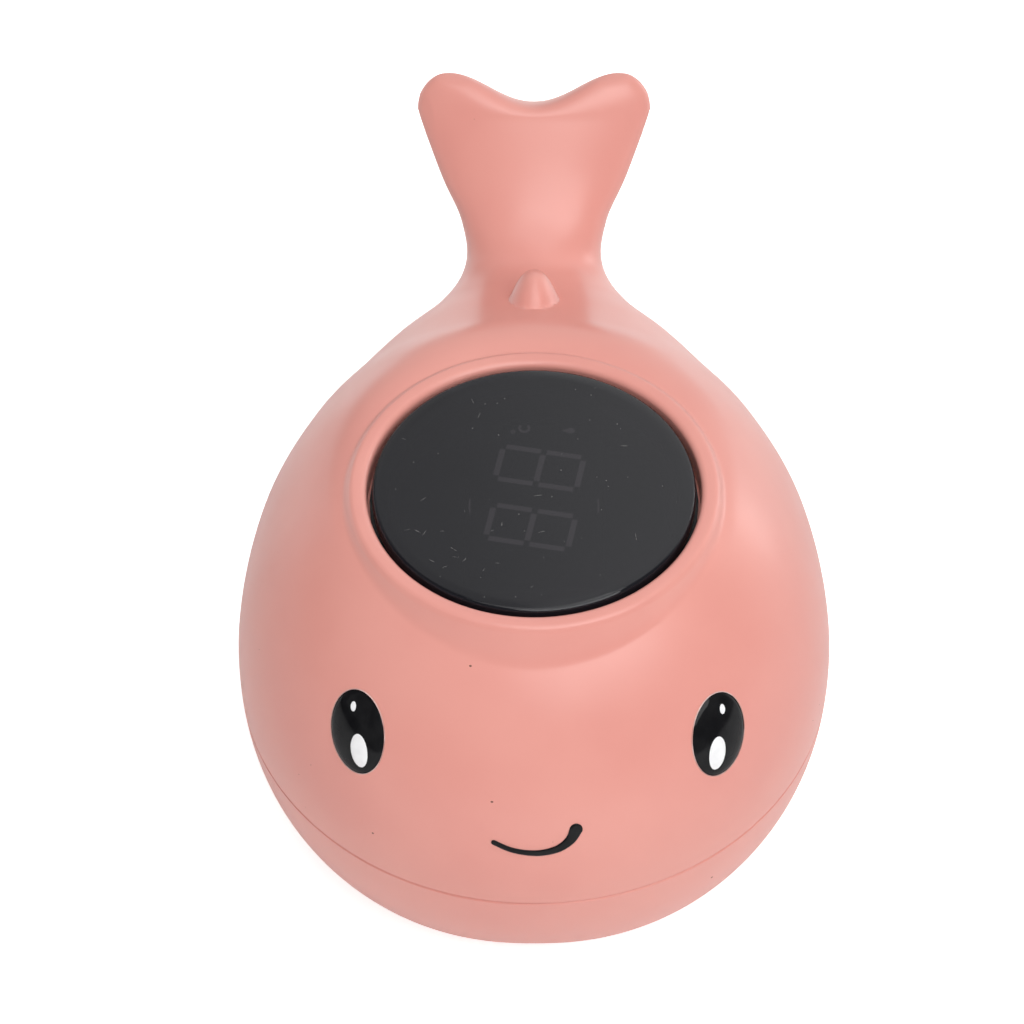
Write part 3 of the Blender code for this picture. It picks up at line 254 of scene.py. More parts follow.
def finish(name, dark, pale, tint, rough, relief, **fixed):
    """A material whose colour, roughness and relief drift with noise.

    tint is (scale, detail, from, to), rough is a number or (least, most, scale, detail, from, to),
    and relief holds bumps from fine to coarse, each (scale, detail, strength, depth).
    """
    material, tree, output = new_material(name)
    scale, detail, low, high = tint
    colour = blend_colour(tree, spread(tree, grain(tree, scale, detail), low, high), dark, pale)
    if isinstance(rough, tuple):
        least, most, scale, detail, low, high = rough
        rough = spread(tree, grain(tree, scale, detail), low, high, least, most, smooth=False)
    normal = None
    for scale, detail, strength, depth in relief:
        normal = bump(tree, grain(tree, scale, detail), strength, depth, normal)
    finish_with(tree, output, colour, rough, normal, **fixed)
    return material


# %% Salmon plastic of the hull
SALMON = (0.775, 0.335, 0.285)
SALMON_DEEP = (0.735, 0.300, 0.255)
salmon = finish("salmon_plastic", SALMON_DEEP, SALMON, (38, 3, 0.3, 0.7),
                (0.285, 0.34, 160, 3, 0.25, 0.75),
                ((420, 1, 0.04, 0.02 * MM), (80, 0, 0.05, 0.2 * MM)), IOR=1.5)
print("made", salmon.name)

# %% [markdown]
# ## The whale as a loft
# The hull is one skin: rings of points strung along the body, from the tip of the nose over the
# back to the edge of the tail. Each ring is a superellipse, a circle that can be made a little
# squarer by a power. In front, the rings shrink along round arcs to a point; behind, a smooth curve
# through nine stations carries the top line, the belly line and the width to the narrow neck and
# out again to the fluke. Sculpting could give such a shape too, but rings keep it exact, even and
# easy to change.

# %% Sizes of the whale
HALF_WIDTH, BODY_TOP, BELLY_BOTTOM = 37.5 * MM, 62.0 * MM, -7.0 * MM
NOSE_LENGTH, NOSE_HEIGHT, BACK_LENGTH = 38.2 * MM, 24.0 * MM, 66.6 * MM
WIDEST_SHARE = 0.46
NOSE_PLAN_POWER, NOSE_TOP_POWER, NOSE_BELLY_POWER = 2.0, 1.8, 2.2
SECTION_TOP_POWER, SECTION_BELLY_POWER = 2.12, 2.3
BACK_STATIONS = (
    (0.210, 0.984, 0.210, -0.105, 0.955, 0.47),
    (0.360, 0.927, 0.420, -0.016, 0.832, 0.48),
    (0.465, 0.863, 0.571, 0.113, 0.672, 0.52),
    (0.556, 0.815, 0.698, 0.274, 0.509, 0.54),
    (0.631, 0.784, 0.788, 0.435, 0.336, 0.54),
    (0.698, 0.771, 0.856, 0.581, 0.243, 0.50),
    (0.766, 0.795, 0.908, 0.694, 0.256, 0.50),
    (0.833, 0.855, 0.950, 0.787, 0.325, 0.50),
    (0.916, 0.961, 1.000, 0.906, 0.405, 0.50),
)
FLUKE_LENGTH, FLUKE_TIP_X, FLUKE_EDGE = 4.15 * MM, 11.8 * MM, 1.55 * MM
FLUKE_SOFT, FLUKE_FRONT_POWER = 2.5 * MM, 2.6
FLUKE_TOP, FLUKE_EASE = 62.6 * MM, 0.35 * MM
RING_CROWDING = 1.6
NECK_STATION = 5


# %% Sections of the body
def signed_power(value, power):
    return np.sign(value) * np.abs(value) ** power


def nose_station(angle):
    """Section of the round nose, from its tip at 0 to the widest one at 90 degrees."""
    reach = math.cos(angle)
    widest_z = BELLY_BOTTOM + WIDEST_SHARE * (BODY_TOP - BELLY_BOTTOM)
    level = NOSE_HEIGHT + (widest_z - NOSE_HEIGHT) * math.sin(angle)
    half_width = HALF_WIDTH * (1 - reach ** NOSE_PLAN_POWER) ** (1 / NOSE_PLAN_POWER)
    rise = (BODY_TOP - widest_z) * (1 - reach ** NOSE_TOP_POWER) ** (1 / NOSE_TOP_POWER)
    drop = (widest_z - BELLY_BOTTOM) * (1 - reach ** NOSE_BELLY_POWER) ** (1 / NOSE_BELLY_POWER)
    y = -NOSE_LENGTH * reach
    return np.array([y, level + rise, y, level - drop, half_width, drop / (rise + drop)])


def back_stations():
    """Stations in metres, from the widest section to the root of the fluke."""
    table = np.array(BACK_STATIONS)
    sizes = np.array([BACK_LENGTH, BODY_TOP, BACK_LENGTH, BODY_TOP, HALF_WIDTH, 1.0])
    widest = np.array([0.0, BODY_TOP, 0.0, BELLY_BOTTOM, HALF_WIDTH, WIDEST_SHARE])
    return [widest, *(table * sizes)]


def between(before, start, end, after, share):
    """Catmull-Rom curve through start and end."""
    return 0.5 * (2 * start + (end - before) * share
                  + (2 * before - 5 * start + 4 * end - after) * share ** 2
                  + (3 * start - before - 3 * end + after) * share ** 3)


def section_ring(station, count):
    """Points of one section, round from +X over the top."""
    top_y, top_z, belly_y, belly_z, half_width, share = station
    top, belly = np.array([top_y, top_z]), np.array([belly_y, belly_z])
    centre = belly + (top - belly) * share
    angle = 2 * math.pi * np.arange(count) / count
    upper = np.sin(angle) >= -1e-9
    power = np.where(upper, 2 / SECTION_TOP_POWER, 2 / SECTION_BELLY_POWER)
    side = half_width * signed_power(np.cos(angle), power)
    height = np.abs(np.sin(angle)) ** power
    target = np.where(upper[:, None], top, belly)
    profile = centre + (target - centre) * height[:, None]
    return np.column_stack([side, profile])


# %% [markdown]
# The tail ends in two lobes with a notch between them. The last rings stretch by a reach that
# depends on how far a point lies from the middle: a cosine makes the lobes and the notch, and a
# quarter of an ellipse rounds their outer sides. The front of the fluke stays flat almost up to its
# edge, while the back thins evenly.

# %% Rings that close the tail
def fluke_rings(last, before, half_width, count):
    """Rings that close the tail: they stretch into two lobes and thin to an edge."""
    points = len(last)
    middle = last.mean(axis=0)
    direction = middle - before.mean(axis=0)
    direction /= np.linalg.norm(direction)
    order = np.arange(points)
    edge_x = last[np.minimum(order, points - order), 0]
    x = np.abs(edge_x)
    lobe = FLUKE_LENGTH * (1 - np.cos(math.pi * x / FLUKE_TIP_X)) / 2
    side = np.clip((x - FLUKE_TIP_X) / (half_width - FLUKE_TIP_X), 0, 1)
    reach = np.where(x <= FLUKE_TIP_X, lobe, FLUKE_LENGTH * np.sqrt(1 - side ** 2))
    reach = reach + FLUKE_EDGE * np.sqrt(np.clip(1 - (x / half_width) ** 4, 0, None))
    flare = (half_width - np.abs(before[:, 0]).max()) / np.linalg.norm(middle - before.mean(axis=0))
    bulge = np.sign(edge_x) * side * flare * reach * np.exp(-reach / FLUKE_SOFT)
    flat = np.column_stack([edge_x + bulge, np.full(points, middle[1]), np.full(points, middle[2])])
    front = (order < points / 2)[:, None]
    rings = []
    for step in range(1, count + 1):
        angle = math.pi / 2 * (1 - (1 - step / count) ** RING_CROWDING)
        rise = min(math.sin(angle), 1.0)
        flat_front = (1 - rise ** FLUKE_FRONT_POWER) ** (1 / FLUKE_FRONT_POWER)
        thin = flat + (last - flat) * np.where(front, flat_front, math.cos(angle))
        ring = thin + direction * (reach * rise)[:, None]
        over = np.maximum(ring[:, 2] - (FLUKE_TOP - FLUKE_EASE), 0)
        ring[:, 2] -= over - FLUKE_EASE * (1 - np.exp(-over / FLUKE_EASE))
        rings.append(ring)
    return rings


# %% All rings, from the nose to the fluke
def whale_rings(count, nose_rings, rings_per_station, tail_rings):
    """All rings from the nose tip to the edge of the fluke."""
    rings = [np.tile([0.0, -NOSE_LENGTH, NOSE_HEIGHT], (count, 1))]
    for step in range(1, nose_rings):
        rings.append(section_ring(nose_station(math.pi / 2 * step / nose_rings), count))
    stations = back_stations()
    mirrored = stations[1] * np.array([-1, 1, -1, 1, 1, 1])
    chain = [mirrored, *stations, 2 * stations[-1] - stations[-2]]
    for start in range(1, len(stations)):
        for step in range(rings_per_station):
            station = between(*chain[start - 1:start + 3], step / rings_per_station)
            rings.append(section_ring(station, count))
    rings.append(section_ring(stations[-1], count))
    if tail_rings:
        rings += fluke_rings(rings[-1], rings[-2], stations[-1][4], tail_rings)
    return np.array(rings)


# %% From rows of points to meshes
def join_rows(bm, rows):
    """Join closed rows of points with faces; a row of one point is a pole."""
    for here, there in zip(rows, rows[1:]):
        count = max(len(here), len(there))
        for index in range(count):
            after = (index + 1) % count
            corners = [row[place % len(row)] for row, place in
                       ((here, index), (there, index), (there, after), (here, after))]
            bm.faces.new(list(dict.fromkeys(corners)))


def to_object(name, bm, outward=False):
    """Turn a bmesh into an object, if asked with its faces turned outwards first."""
    if outward:
        bmesh.ops.recalc_face_normals(bm, faces=bm.faces)
    mesh = bpy.data.meshes.new(name)
    bm.to_mesh(mesh)
    bm.free()
    made = bpy.data.objects.new(name, mesh)
    scene.collection.objects.link(made)
    return made


def skin_mesh(rings, capped=False):
    """Join rings with faces; the first is a pole, the last an edge or a capped end."""
    rows, count = rings.shape[:2]
    index = np.arange(rows * count).reshape(rows, count)
    here, there = index[:-1], index[1:]
    corners = [here, there, np.roll(there, -1, 1), np.roll(here, -1, 1)]
    faces = np.stack(corners, axis=-1).reshape(-1, 4).tolist()
    if capped:
        faces.append(index[-1][::-1].tolist())
    mesh = bpy.data.meshes.new("skin")
    mesh.from_pydata(rings.reshape(-1, 3).tolist(), [], faces)
    bm = bmesh.new()
    bm.from_mesh(mesh)
    bpy.data.meshes.remove(mesh)
    bmesh.ops.remove_doubles(bm, verts=bm.verts, dist=0.0005 * MM)
    bmesh.ops.dissolve_degenerate(bm, edges=bm.edges, dist=0.0001 * MM)
    bmesh.ops.recalc_face_normals(bm, faces=bm.faces)
    return bm


# %% Make the skin and soften the corners of the tail
RING_POINTS, NOSE_RINGS, RINGS_PER_STATION, TAIL_RINGS = 240, 60, 13, 18
CORNER_ROUNDS, CORNER_REACH = 30, 2.6 * MM
fine_rings = whale_rings(RING_POINTS, NOSE_RINGS, RINGS_PER_STATION, TAIL_RINGS)
fine_skin = skin_mesh(fine_rings)
top_y, top_z, belly_y, belly_z, half_width = back_stations()[-1][:5]
corner = Vector((half_width, (top_y + belly_y) / 2, (top_z + belly_z) / 2))
for _ in range(CORNER_ROUNDS):
    near = [v for v in fine_skin.verts
            if (Vector((abs(v.co.x), v.co.y, v.co.z)) - corner).length < CORNER_REACH]
    bmesh.ops.smooth_vert(fine_skin, verts=near, factor=0.5,
                          use_axis_x=True, use_axis_y=True, use_axis_z=True)
fine_tree = BVHTree.FromBMesh(fine_skin)
print("whale skin:", len(fine_rings), "rings,", len(fine_skin.faces), "faces")


# %% [markdown]
# ## The round housing on the back
# The window sits in a raised lip on a flattened back. A boss with a sloping wall carries the lip
# where the back falls away in front, and its foot draws the soft crescent under the window. Rings
# of the loft don't follow a circle, so that part of the skin is cut out along a circle and made
# anew from rings round the window. Their height is the back's own, held down to the flat by a
# smooth minimum and lifted to the boss by a smooth maximum: such blends leave soft creases.

# %% Height of the back round the window
CROWN_RADIUS, CROWN_LOWEST = 32.5 * MM, 33 * MM
DECK_SOFT, BOSS_SOFT = 2.0 * MM, 0.7 * MM
DECK_TOP, RIM_TOP = 55.2 * MM, 56.0 * MM
BOSS_RADIUS, BOSS_SPREAD = 22.75 * MM, 0.42
BORE_RADIUS, LEDGE_TOP, WINDOW_RADIUS, LEDGE_BOTTOM = 20.3 * MM, 52.3 * MM, 17.5 * MM, 50.7 * MM


def smooth_min(a, b, softness):
    near = max(softness - abs(a - b), 0.0) / softness
    return min(a, b) - near * near * softness / 4


def smooth_max(a, b, softness):
    return -smooth_min(-a, -b, softness)


def skin_height(x, y):
    """Height of the bare whale at a place, from above."""
    hit = fine_tree.ray_cast(Vector((x, y, 1.0)), Vector((0, 0, -1)))[0]
    return hit.z


def crown_height(x, y):
    """Height of the finished back at a place near the window."""
    bare = smooth_min(skin_height(x, y), DECK_TOP, DECK_SOFT)
    boss = DECK_TOP - (math.hypot(x, y) - BOSS_RADIUS) / BOSS_SPREAD
    return smooth_max(bare, boss, BOSS_SOFT)


# %% Cut the skin along a circle and fill it with rings
def arc(centre, radius, start, end, steps):
    """Points of an arc between two angles in degrees, as (radius, height)."""
    angles = [math.radians(start + (end - start) * step / steps) for step in range(steps + 1)]
    return [(centre[0] + radius * math.cos(a), centre[1] + radius * math.sin(a)) for a in angles]


LIP_ROUND, MOUTH_ROUND, LIP_RADIUS = 0.75 * MM, 0.8 * MM, 22.6 * MM
LIP_START, BORE_STOP = 25, 54.0 * MM
lip_profile = arc((LIP_RADIUS - LIP_ROUND, RIM_TOP - LIP_ROUND), LIP_ROUND, LIP_START, 90, 6)
lip_profile += arc((BORE_RADIUS + MOUTH_ROUND, RIM_TOP - MOUTH_ROUND), MOUTH_ROUND, 90, 180, 6)
lip_profile += [(BORE_RADIUS, BORE_STOP), (BORE_RADIUS, LEDGE_TOP), (WINDOW_RADIUS, LEDGE_TOP),
                (WINDOW_RADIUS, LEDGE_BOTTOM)]
crown_radii = [*np.linspace(31.6, 26.0, 8), *np.linspace(25.6, 23.1, 12), 22.9, 22.75, 22.65]


def fit_crown(bm):
    """Replace the skin round the window by rings that follow it."""
    bm.faces.ensure_lookup_table()
    inside = [(face, face.calc_center_median()) for face in bm.faces]
    inside = [face for face, centre in inside
              if centre.z > CROWN_LOWEST and math.hypot(centre.x, centre.y) < CROWN_RADIUS]
    bmesh.ops.delete(bm, geom=inside, context="FACES")
    edges = [edge for edge in bm.edges if edge.is_boundary]
    loop = [edges[0].verts[0], edges[0].verts[1]]
    neighbours = {}
    for edge in edges:
        for vert in edge.verts:
            neighbours.setdefault(vert, []).append(edge.other_vert(vert))
    while True:
        ahead = [v for v in neighbours[loop[-1]] if v != loop[-2]]
        if ahead[0] == loop[0]:
            break
        loop.append(ahead[0])
    for vert in loop:
        reach = CROWN_RADIUS / math.hypot(vert.co.x, vert.co.y)
        x, y = vert.co.x * reach, vert.co.y * reach
        vert.co = (x, y, crown_height(x, y))
    directions = [v.co.xy.normalized() for v in loop]
    rows = [loop]
    for radius, height in [(radius * MM, None) for radius in crown_radii] + lip_profile:
        row = []
        for direction in directions:
            x, y = direction * radius
            z = crown_height(x, y) if height is None else height
            row.append(bm.verts.new((x, y, z)))
        rows.append(row)
    rows.append([bm.verts.new((0, 0, LEDGE_BOTTOM))])
    join_rows(bm, rows)
    bmesh.ops.recalc_face_normals(bm, faces=bm.faces)
    return len(loop)


outer = fine_skin.copy()
print("crown ring has", fit_crown(outer), "points")

# %% [markdown]
# ## The thorn on the back
# Behind the window stands a small soft thorn that leans back. It grows out of the skin without an
# edge, so it isn't a separate cone: the faces there are divided finer, and each point is pulled up
# and back by a weight that falls off with the distance from the thorn's middle.

# %% Pull the thorn out of the skin
FIN_Y, FIN_RADIUS = 37.0 * MM, 3.25 * MM
FIN_PULL, FIN_FOOT = Vector((0, 1.8 * MM, 3.2 * MM)), 40 * MM
FIN_TOP_POWER, FIN_SIDE_POWER = 2.5, 1.25


def pull_fin(bm):
    """Divide the skin round the thorn and pull it out."""
    near = [e for e in bm.edges if all(
        v.co.z > FIN_FOOT and math.hypot(v.co.x, v.co.y - FIN_Y) < 1.15 * FIN_RADIUS for v in e.verts)]
    bmesh.ops.subdivide_edges(bm, edges=near, cuts=2, use_grid_fill=True)
    moved = 0
    for vert in bm.verts:
        far = math.hypot(vert.co.x, (vert.co.y - FIN_Y) * 0.9) / FIN_RADIUS
        if vert.co.z >= FIN_FOOT and far < 1:
            vert.co += FIN_PULL * (1 - far ** FIN_TOP_POWER) ** FIN_SIDE_POWER
            moved += 1
    return moved


print("thorn moved", pull_fin(outer), "points")


# %% [markdown]
# ## Hollow shells
# The real hull is two mouldings about 2.4 mm thick that meet at a seam round the belly. The inside
# of each is the same whale, moved in along its normals. All the cutters of a shell, its hollow, the
# other half, the eye pockets and the small V along the seam, are joined into one tool first, so
# that the dense skin is cut only once.

# %% Boolean helpers
WALL, HOUSING_RADIUS = 2.4 * MM, 24.3 * MM
SEAM_HEIGHT = 22.5 * MM
GAP = 0.3 * MM
FAR = 90 * MM


def combine(base, tool, operation):
    """Apply an exact Boolean and remove its tool."""
    modifier = base.modifiers.new("combine", "BOOLEAN")
    modifier.operation, modifier.solver, modifier.object = operation, "EXACT", tool
    result = bpy.data.meshes.new_from_object(base.evaluated_get(bpy.context.evaluated_depsgraph_get()))
    base.modifiers.clear()
    base.data = result
    bpy.data.objects.remove(tool, do_unlink=True)
    return base


def block(low, high):
    """A box between two corners."""
    bm = bmesh.new()
    bmesh.ops.create_cube(bm, size=1.0)
    bmesh.ops.scale(bm, vec=[b - a for a, b in zip(low, high)], verts=bm.verts)
    bmesh.ops.translate(bm, vec=[(a + b) / 2 for a, b in zip(low, high)], verts=bm.verts)
    return to_object("block", bm)


def slab(bottom, top):
    """Everything between two heights."""
    return block((-FAR, -FAR, bottom), (FAR, FAR, top))


def rod(radius, bottom, top, place=(0, 0), segments=32):
    """An upright cylinder."""
    bm = bmesh.new()
    matrix = Matrix.Translation((place[0], place[1], (bottom + top) / 2))
    bmesh.ops.create_cone(bm, cap_ends=True, segments=segments, radius1=radius, radius2=radius,
                          depth=top - bottom, matrix=matrix)
    return to_object("rod", bm)


INNER_POINTS, INNER_NOSE_RINGS, INNER_STEPS = 64, 20, 4
BODY_ROWS = INNER_NOSE_RINGS + NECK_STATION * INNER_STEPS + 1


def inner_body(inset):
    """The whale up to its neck, moved in along its normals."""
    rings = whale_rings(INNER_POINTS, INNER_NOSE_RINGS, INNER_STEPS, 0)
    normals = np.cross(np.gradient(rings, axis=0), np.roll(rings, -1, 1) - np.roll(rings, 1, 1))
    length = np.linalg.norm(normals, axis=2, keepdims=True)
    normals = np.divide(normals, length, out=np.zeros_like(normals), where=length > 1e-15)
    normals[0] = (0, -1, 0)
    rings = (rings - normals * inset)[:BODY_ROWS]
    return to_object("inner_body", skin_mesh(rings, capped=True))


# %% A soft V along the seam
SEAM_SOFT, SEAM_GAP, SEAM_REACH = 0.24 * MM, 0.12 * MM, 1.2 * MM
HULL_MIDDLE_Y = 6 * MM


def waterline(height, count=240):
    """Points of the hull's outline at a height, round from +X."""
    centre = Vector((0, HULL_MIDDLE_Y, height))
    points = []
    for step in range(count):
        angle = 2 * math.pi * step / count
        direction = Vector((math.cos(angle), math.sin(angle), 0))
        points.append(fine_tree.ray_cast(centre + direction * FAR, -direction)[0])
    return points


def seam_cutter(depth):
    """A ring with a V section that opens outwards along the seam."""
    line = waterline(SEAM_HEIGHT)
    rise = Vector((0, 0, depth + SEAM_REACH))
    bm = bmesh.new()
    rows = []
    for index, point in enumerate(line):
        along = line[(index + 1) % len(line)] - line[index - 1]
        out = Vector((along.y, -along.x, 0)).normalized()
        wide = point + out * SEAM_REACH
        rows.append([bm.verts.new(place) for place in (point - out * depth, wide - rise, wide + rise)])
    join_rows(bm, [*rows, rows[0]])
    return to_object("seam_cutter", bm, outward=True)


# %% Places of the eyes
EYE_X, EYE_Z, FACE_SHIFT, FACE_DROP = 21.7 * MM, 40.7 * MM, 0.5 * MM, 0.4 * MM
EYE_HALF = (3.85 * MM, 5.25 * MM)
EYE_LEAN = math.radians(20)
EYE_DEPTH, EYE_GAP = 0.5 * MM, 0.11 * MM


def frame_at(point, normal, up):
    """Placing matrix with local Z along the normal and local Y near the up direction."""
    z_axis = normal.normalized()
    x_axis = up.cross(z_axis).normalized()
    y_axis = z_axis.cross(x_axis)
    return Matrix.Translation(point) @ Matrix((x_axis, y_axis, z_axis)).transposed().to_4x4()


def from_front(x, z):
    """The point of the hull straight behind a place in front of the face, and its normal."""
    return fine_tree.ray_cast(Vector((x, -FAR, z)), Vector((0, 1, 0)))[:2]


def eye_frame(side):
    """Place and tilt of an eye on the hull; side is -1 for the left one."""
    point, normal = from_front(side * EYE_X + FACE_SHIFT, EYE_Z - side * FACE_DROP)
    return frame_at(point, normal, Vector((side * math.sin(EYE_LEAN), 0, math.cos(EYE_LEAN))))


def on_skin(matrix, x, y, lift):
    """A point on the hull under a local place, lifted off it."""
    start = matrix @ Vector((x, y, 30 * MM))
    down = -(matrix.to_3x3() @ Vector((0, 0, 1)))
    point, normal = fine_tree.ray_cast(start, down)[:2]
    return point + normal * lift


def grown(half, rows, extra=0.0):
    """Rows of an oval from (share of its half sizes, height)."""
    return [((half[0] + extra) * share, (half[1] + extra) * share, height) for share, height in rows]


def oval(name, matrix, rows, centre=(0.0, 0.0), points=96, dome=None, ring=False):
    """Closed oval piece that follows the hull.

    Each row is (half x, half y, height off the hull), or off the dome if one is given.
    """
    bm = bmesh.new()
    grid = []
    for half_x, half_y, height in rows:
        line = []
        for index in range(points if half_x else 1):
            angle = 2 * math.pi * index / points
            x, y = centre[0] + half_x * math.cos(angle), centre[1] + half_y * math.sin(angle)
            line.append(bm.verts.new(on_skin(matrix, x, y, height + (dome(x, y) if dome else 0.0))))
        grid.append(line)
    join_rows(bm, grid + grid[:1] if ring else grid)
    return to_object(name, bm, outward=True)


# %% Cut the upper shell
def smooth_piece(made, material, node_names, angle=32):
    made.data.shade_smooth()
    made.data.set_sharp_from_angle(angle=math.radians(angle))
    made.data.materials.clear()
    made.data.materials.append(material)
    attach(made, "root")
    if node_names:
        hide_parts(*node_names)
    triangles = sum(len(p.vertices) - 2 for p in made.data.polygons)
    print(made.name, triangles, "triangles")
    return made


def upper_cutter():
    """Everything that the upper shell leaves out."""
    hollow = combine(inner_body(WALL), slab(-FAR, DECK_TOP - WALL), "INTERSECT")
    combine(hollow, rod(HOUSING_RADIUS, LEDGE_BOTTOM - WALL, FAR, segments=64), "DIFFERENCE")
    tool = combine(hollow, slab(-FAR, SEAM_HEIGHT + SEAM_GAP / 2), "UNION")
    combine(tool, rod(WINDOW_RADIUS, LEDGE_BOTTOM - 2 * WALL, LEDGE_BOTTOM + MM, segments=96), "UNION")
    return tool


upper = to_object("whale_upper_shell", outer.copy())
tool = upper_cutter()
combine(tool, seam_cutter(SEAM_SOFT), "UNION")
POCKET_FLOOR, POCKET_TOP = -EYE_DEPTH - 0.2 * MM, 2 * MM
pocket_rows = [(share, POCKET_FLOOR) for share in (0, 0.5, 1.0)]
pocket_rows += [(share, POCKET_TOP) for share in (1.0, 0.5, 0)]
for side in (-1, 1):
    combine(tool, oval("pocket", eye_frame(side), grown(EYE_HALF, pocket_rows, EYE_GAP)), "UNION")
combine(upper, tool, "DIFFERENCE")
smooth_piece(upper, salmon, ["upper_shell"])

# %% [markdown]
# ## The underside
# The battery cover lies flush in the flat foot, held by a screw in an ear at each side. Four deep
# wells lead to the screws that hold the two shells together. The bay, its ledge and the screw posts
# stand inside the shell, so they are taken away from the hollow before the hollow is cut. The cover
# gets the same outline, a little smaller, with a soft lower edge, and is trimmed by the whale's skin.

# %% Sizes of the underside
BAY_Y, BAY_HALF, BAY_WALL, BAY_TOP = 1.0 * MM, (10.95 * MM, 24.6 * MM), 1.6 * MM, 13.5 * MM
COVER_HALF, COVER_CORNER, COVER_THICKNESS = (12.05 * MM, 25.7 * MM), 3.0 * MM, 2.4 * MM
EAR_X, EAR_RADIUS = 14.65 * MM, 3.7 * MM
LEDGE_DEPTH, COVER_SPACE = 3.8 * MM, 2.7 * MM
HULL_SCREWS = [(x * MM, y * MM) for x, y in ((-21, -11), (21, -11), (-21, 11), (21, 11))]
COVER_SCREWS = [(-EAR_X, BAY_Y), (EAR_X, BAY_Y)]
WELL_RADIUS, WELL_DEPTH, POST_RADIUS, POST_TOP = 2.6 * MM, 4.8 * MM, 3.2 * MM, 18 * MM
HULL_HOLE, COVER_HOLE, COVER_HOLE_TOP, EAR_POST_TOP = 1.5 * MM, 1.3 * MM, 8 * MM, 9 * MM
HEAD_POCKET_RADIUS, HEAD_POCKET_DEPTH = 2.4 * MM, 1.8 * MM


def rounded_outline(half_x, half_y, radius, steps=8):
    """Corner points of a rounded rectangle round the bay's middle."""
    points = []
    for corner in range(4):
        turn = math.pi / 2 * corner
        cx = (half_x - radius) * (1 if corner in (0, 3) else -1)
        cy = (half_y - radius) * (1 if corner in (0, 1) else -1)
        for step in range(steps + 1):
            angle = turn + math.pi / 2 * step / steps
            points.append((cx + radius * math.cos(angle), BAY_Y + cy + radius * math.sin(angle)))
    return points


def stacked(levels):
    """Closed solid through outlines of equal count; levels are (outline, height) from below."""
    bm = bmesh.new()
    rows = [[bm.verts.new((x, y, height)) for x, y in outline] for outline, height in levels]
    join_rows(bm, rows)
    bm.faces.new(rows[0][::-1])
    bm.faces.new(rows[-1])
    return to_object("stacked", bm, outward=True)


def cover_outline(grow):
    """Outline of the cover with an ear at each side, grown by a clearance."""
    half_x, half_y = COVER_HALF[0] + grow, COVER_HALF[1] + grow
    ear = EAR_RADIUS + grow
    points = rounded_outline(half_x, half_y, COVER_CORNER + grow)
    right = [(half_x, BAY_Y - ear)]
    right += [(EAR_X + ear * math.cos(a), BAY_Y + ear * math.sin(a))
              for a in np.linspace(-math.pi / 2, math.pi / 2, 17)]
    right += [(half_x, BAY_Y + ear)]
    left = [(-x, 2 * BAY_Y - y) for x, y in right]
    quarter = len(points) // 4
    return right + points[:2 * quarter] + left + points[2 * quarter:]


# %% Where the steel studs stand
SENSOR_Y, PIN_X, STUD_RADII = 33.5 * MM, 9.5 * MM, (3.3 * MM, 1.5 * MM, 1.5 * MM)
stud_frames = []
for x in (0.0, -PIN_X, PIN_X):
    point, normal = fine_tree.ray_cast(Vector((x, SENSOR_Y, -FAR)), Vector((0, 0, 1)))[:2]
    stud_frames.append(frame_at(point, normal, Vector((0, 1, 0))))
print("sensor stands at height", round(stud_frames[0].translation.z / MM, 1), "mm")


# %% Cut the lower shell
def lower_cutter():
    """Everything that the lower shell leaves out."""
    hollow = combine(inner_body(WALL), slab(WALL, FAR), "INTERSECT")
    bay_x, bay_y = BAY_HALF
    seat_x, seat_y, seat_corner = (size + GAP for size in (*COVER_HALF, COVER_CORNER))
    wall = rounded_outline(bay_x + BAY_WALL, bay_y + BAY_WALL, BAY_WALL)
    combine(hollow, stacked([(wall, -FAR), (wall, BAY_TOP + BAY_WALL)]), "DIFFERENCE")
    foot = rounded_outline(seat_x + BAY_WALL, seat_y + BAY_WALL, COVER_CORNER + BAY_WALL)
    combine(hollow, stacked([(foot, -FAR), (foot, LEDGE_DEPTH + BAY_WALL)]), "DIFFERENCE")
    for place in HULL_SCREWS:
        combine(hollow, rod(POST_RADIUS, -FAR, POST_TOP, place), "DIFFERENCE")
    for place in COVER_SCREWS:
        combine(hollow, rod(EAR_RADIUS + GAP, -FAR, EAR_POST_TOP, place), "DIFFERENCE")
    tool = combine(hollow, slab(SEAM_HEIGHT - SEAM_GAP / 2, FAR), "UNION")
    combine(tool, slab(-FAR, 0.0), "UNION")
    opening = cover_outline(GAP)
    combine(tool, stacked([(opening, -MM), (opening, COVER_SPACE)]), "UNION")
    ledge = rounded_outline(seat_x, seat_y, seat_corner)
    combine(tool, stacked([(ledge, -MM), (ledge, LEDGE_DEPTH)]), "UNION")
    combine(tool, block((-bay_x, BAY_Y - bay_y, -MM), (bay_x, BAY_Y + bay_y, BAY_TOP)), "UNION")
    for place in HULL_SCREWS:
        combine(tool, rod(WELL_RADIUS, -MM, WELL_DEPTH, place, 40), "UNION")
        combine(tool, rod(HULL_HOLE, 0.0, POST_TOP + 3 * MM, place, 24), "UNION")
    for place in COVER_SCREWS:
        combine(tool, rod(COVER_HOLE, 0.0, COVER_HOLE_TOP, place, 24), "UNION")
    for matrix, radius in zip(stud_frames, STUD_RADII):
        hole = rod(radius, -2 * WALL, 2 * WALL, segments=40)
        hole.data.transform(matrix)
        combine(tool, hole, "UNION")
    return tool


lower = to_object("whale_lower_shell", outer.copy())
tool = lower_cutter()
combine(tool, seam_cutter(SEAM_SOFT), "UNION")
combine(lower, tool, "DIFFERENCE")
smooth_piece(lower, salmon, ["lower_shell"])

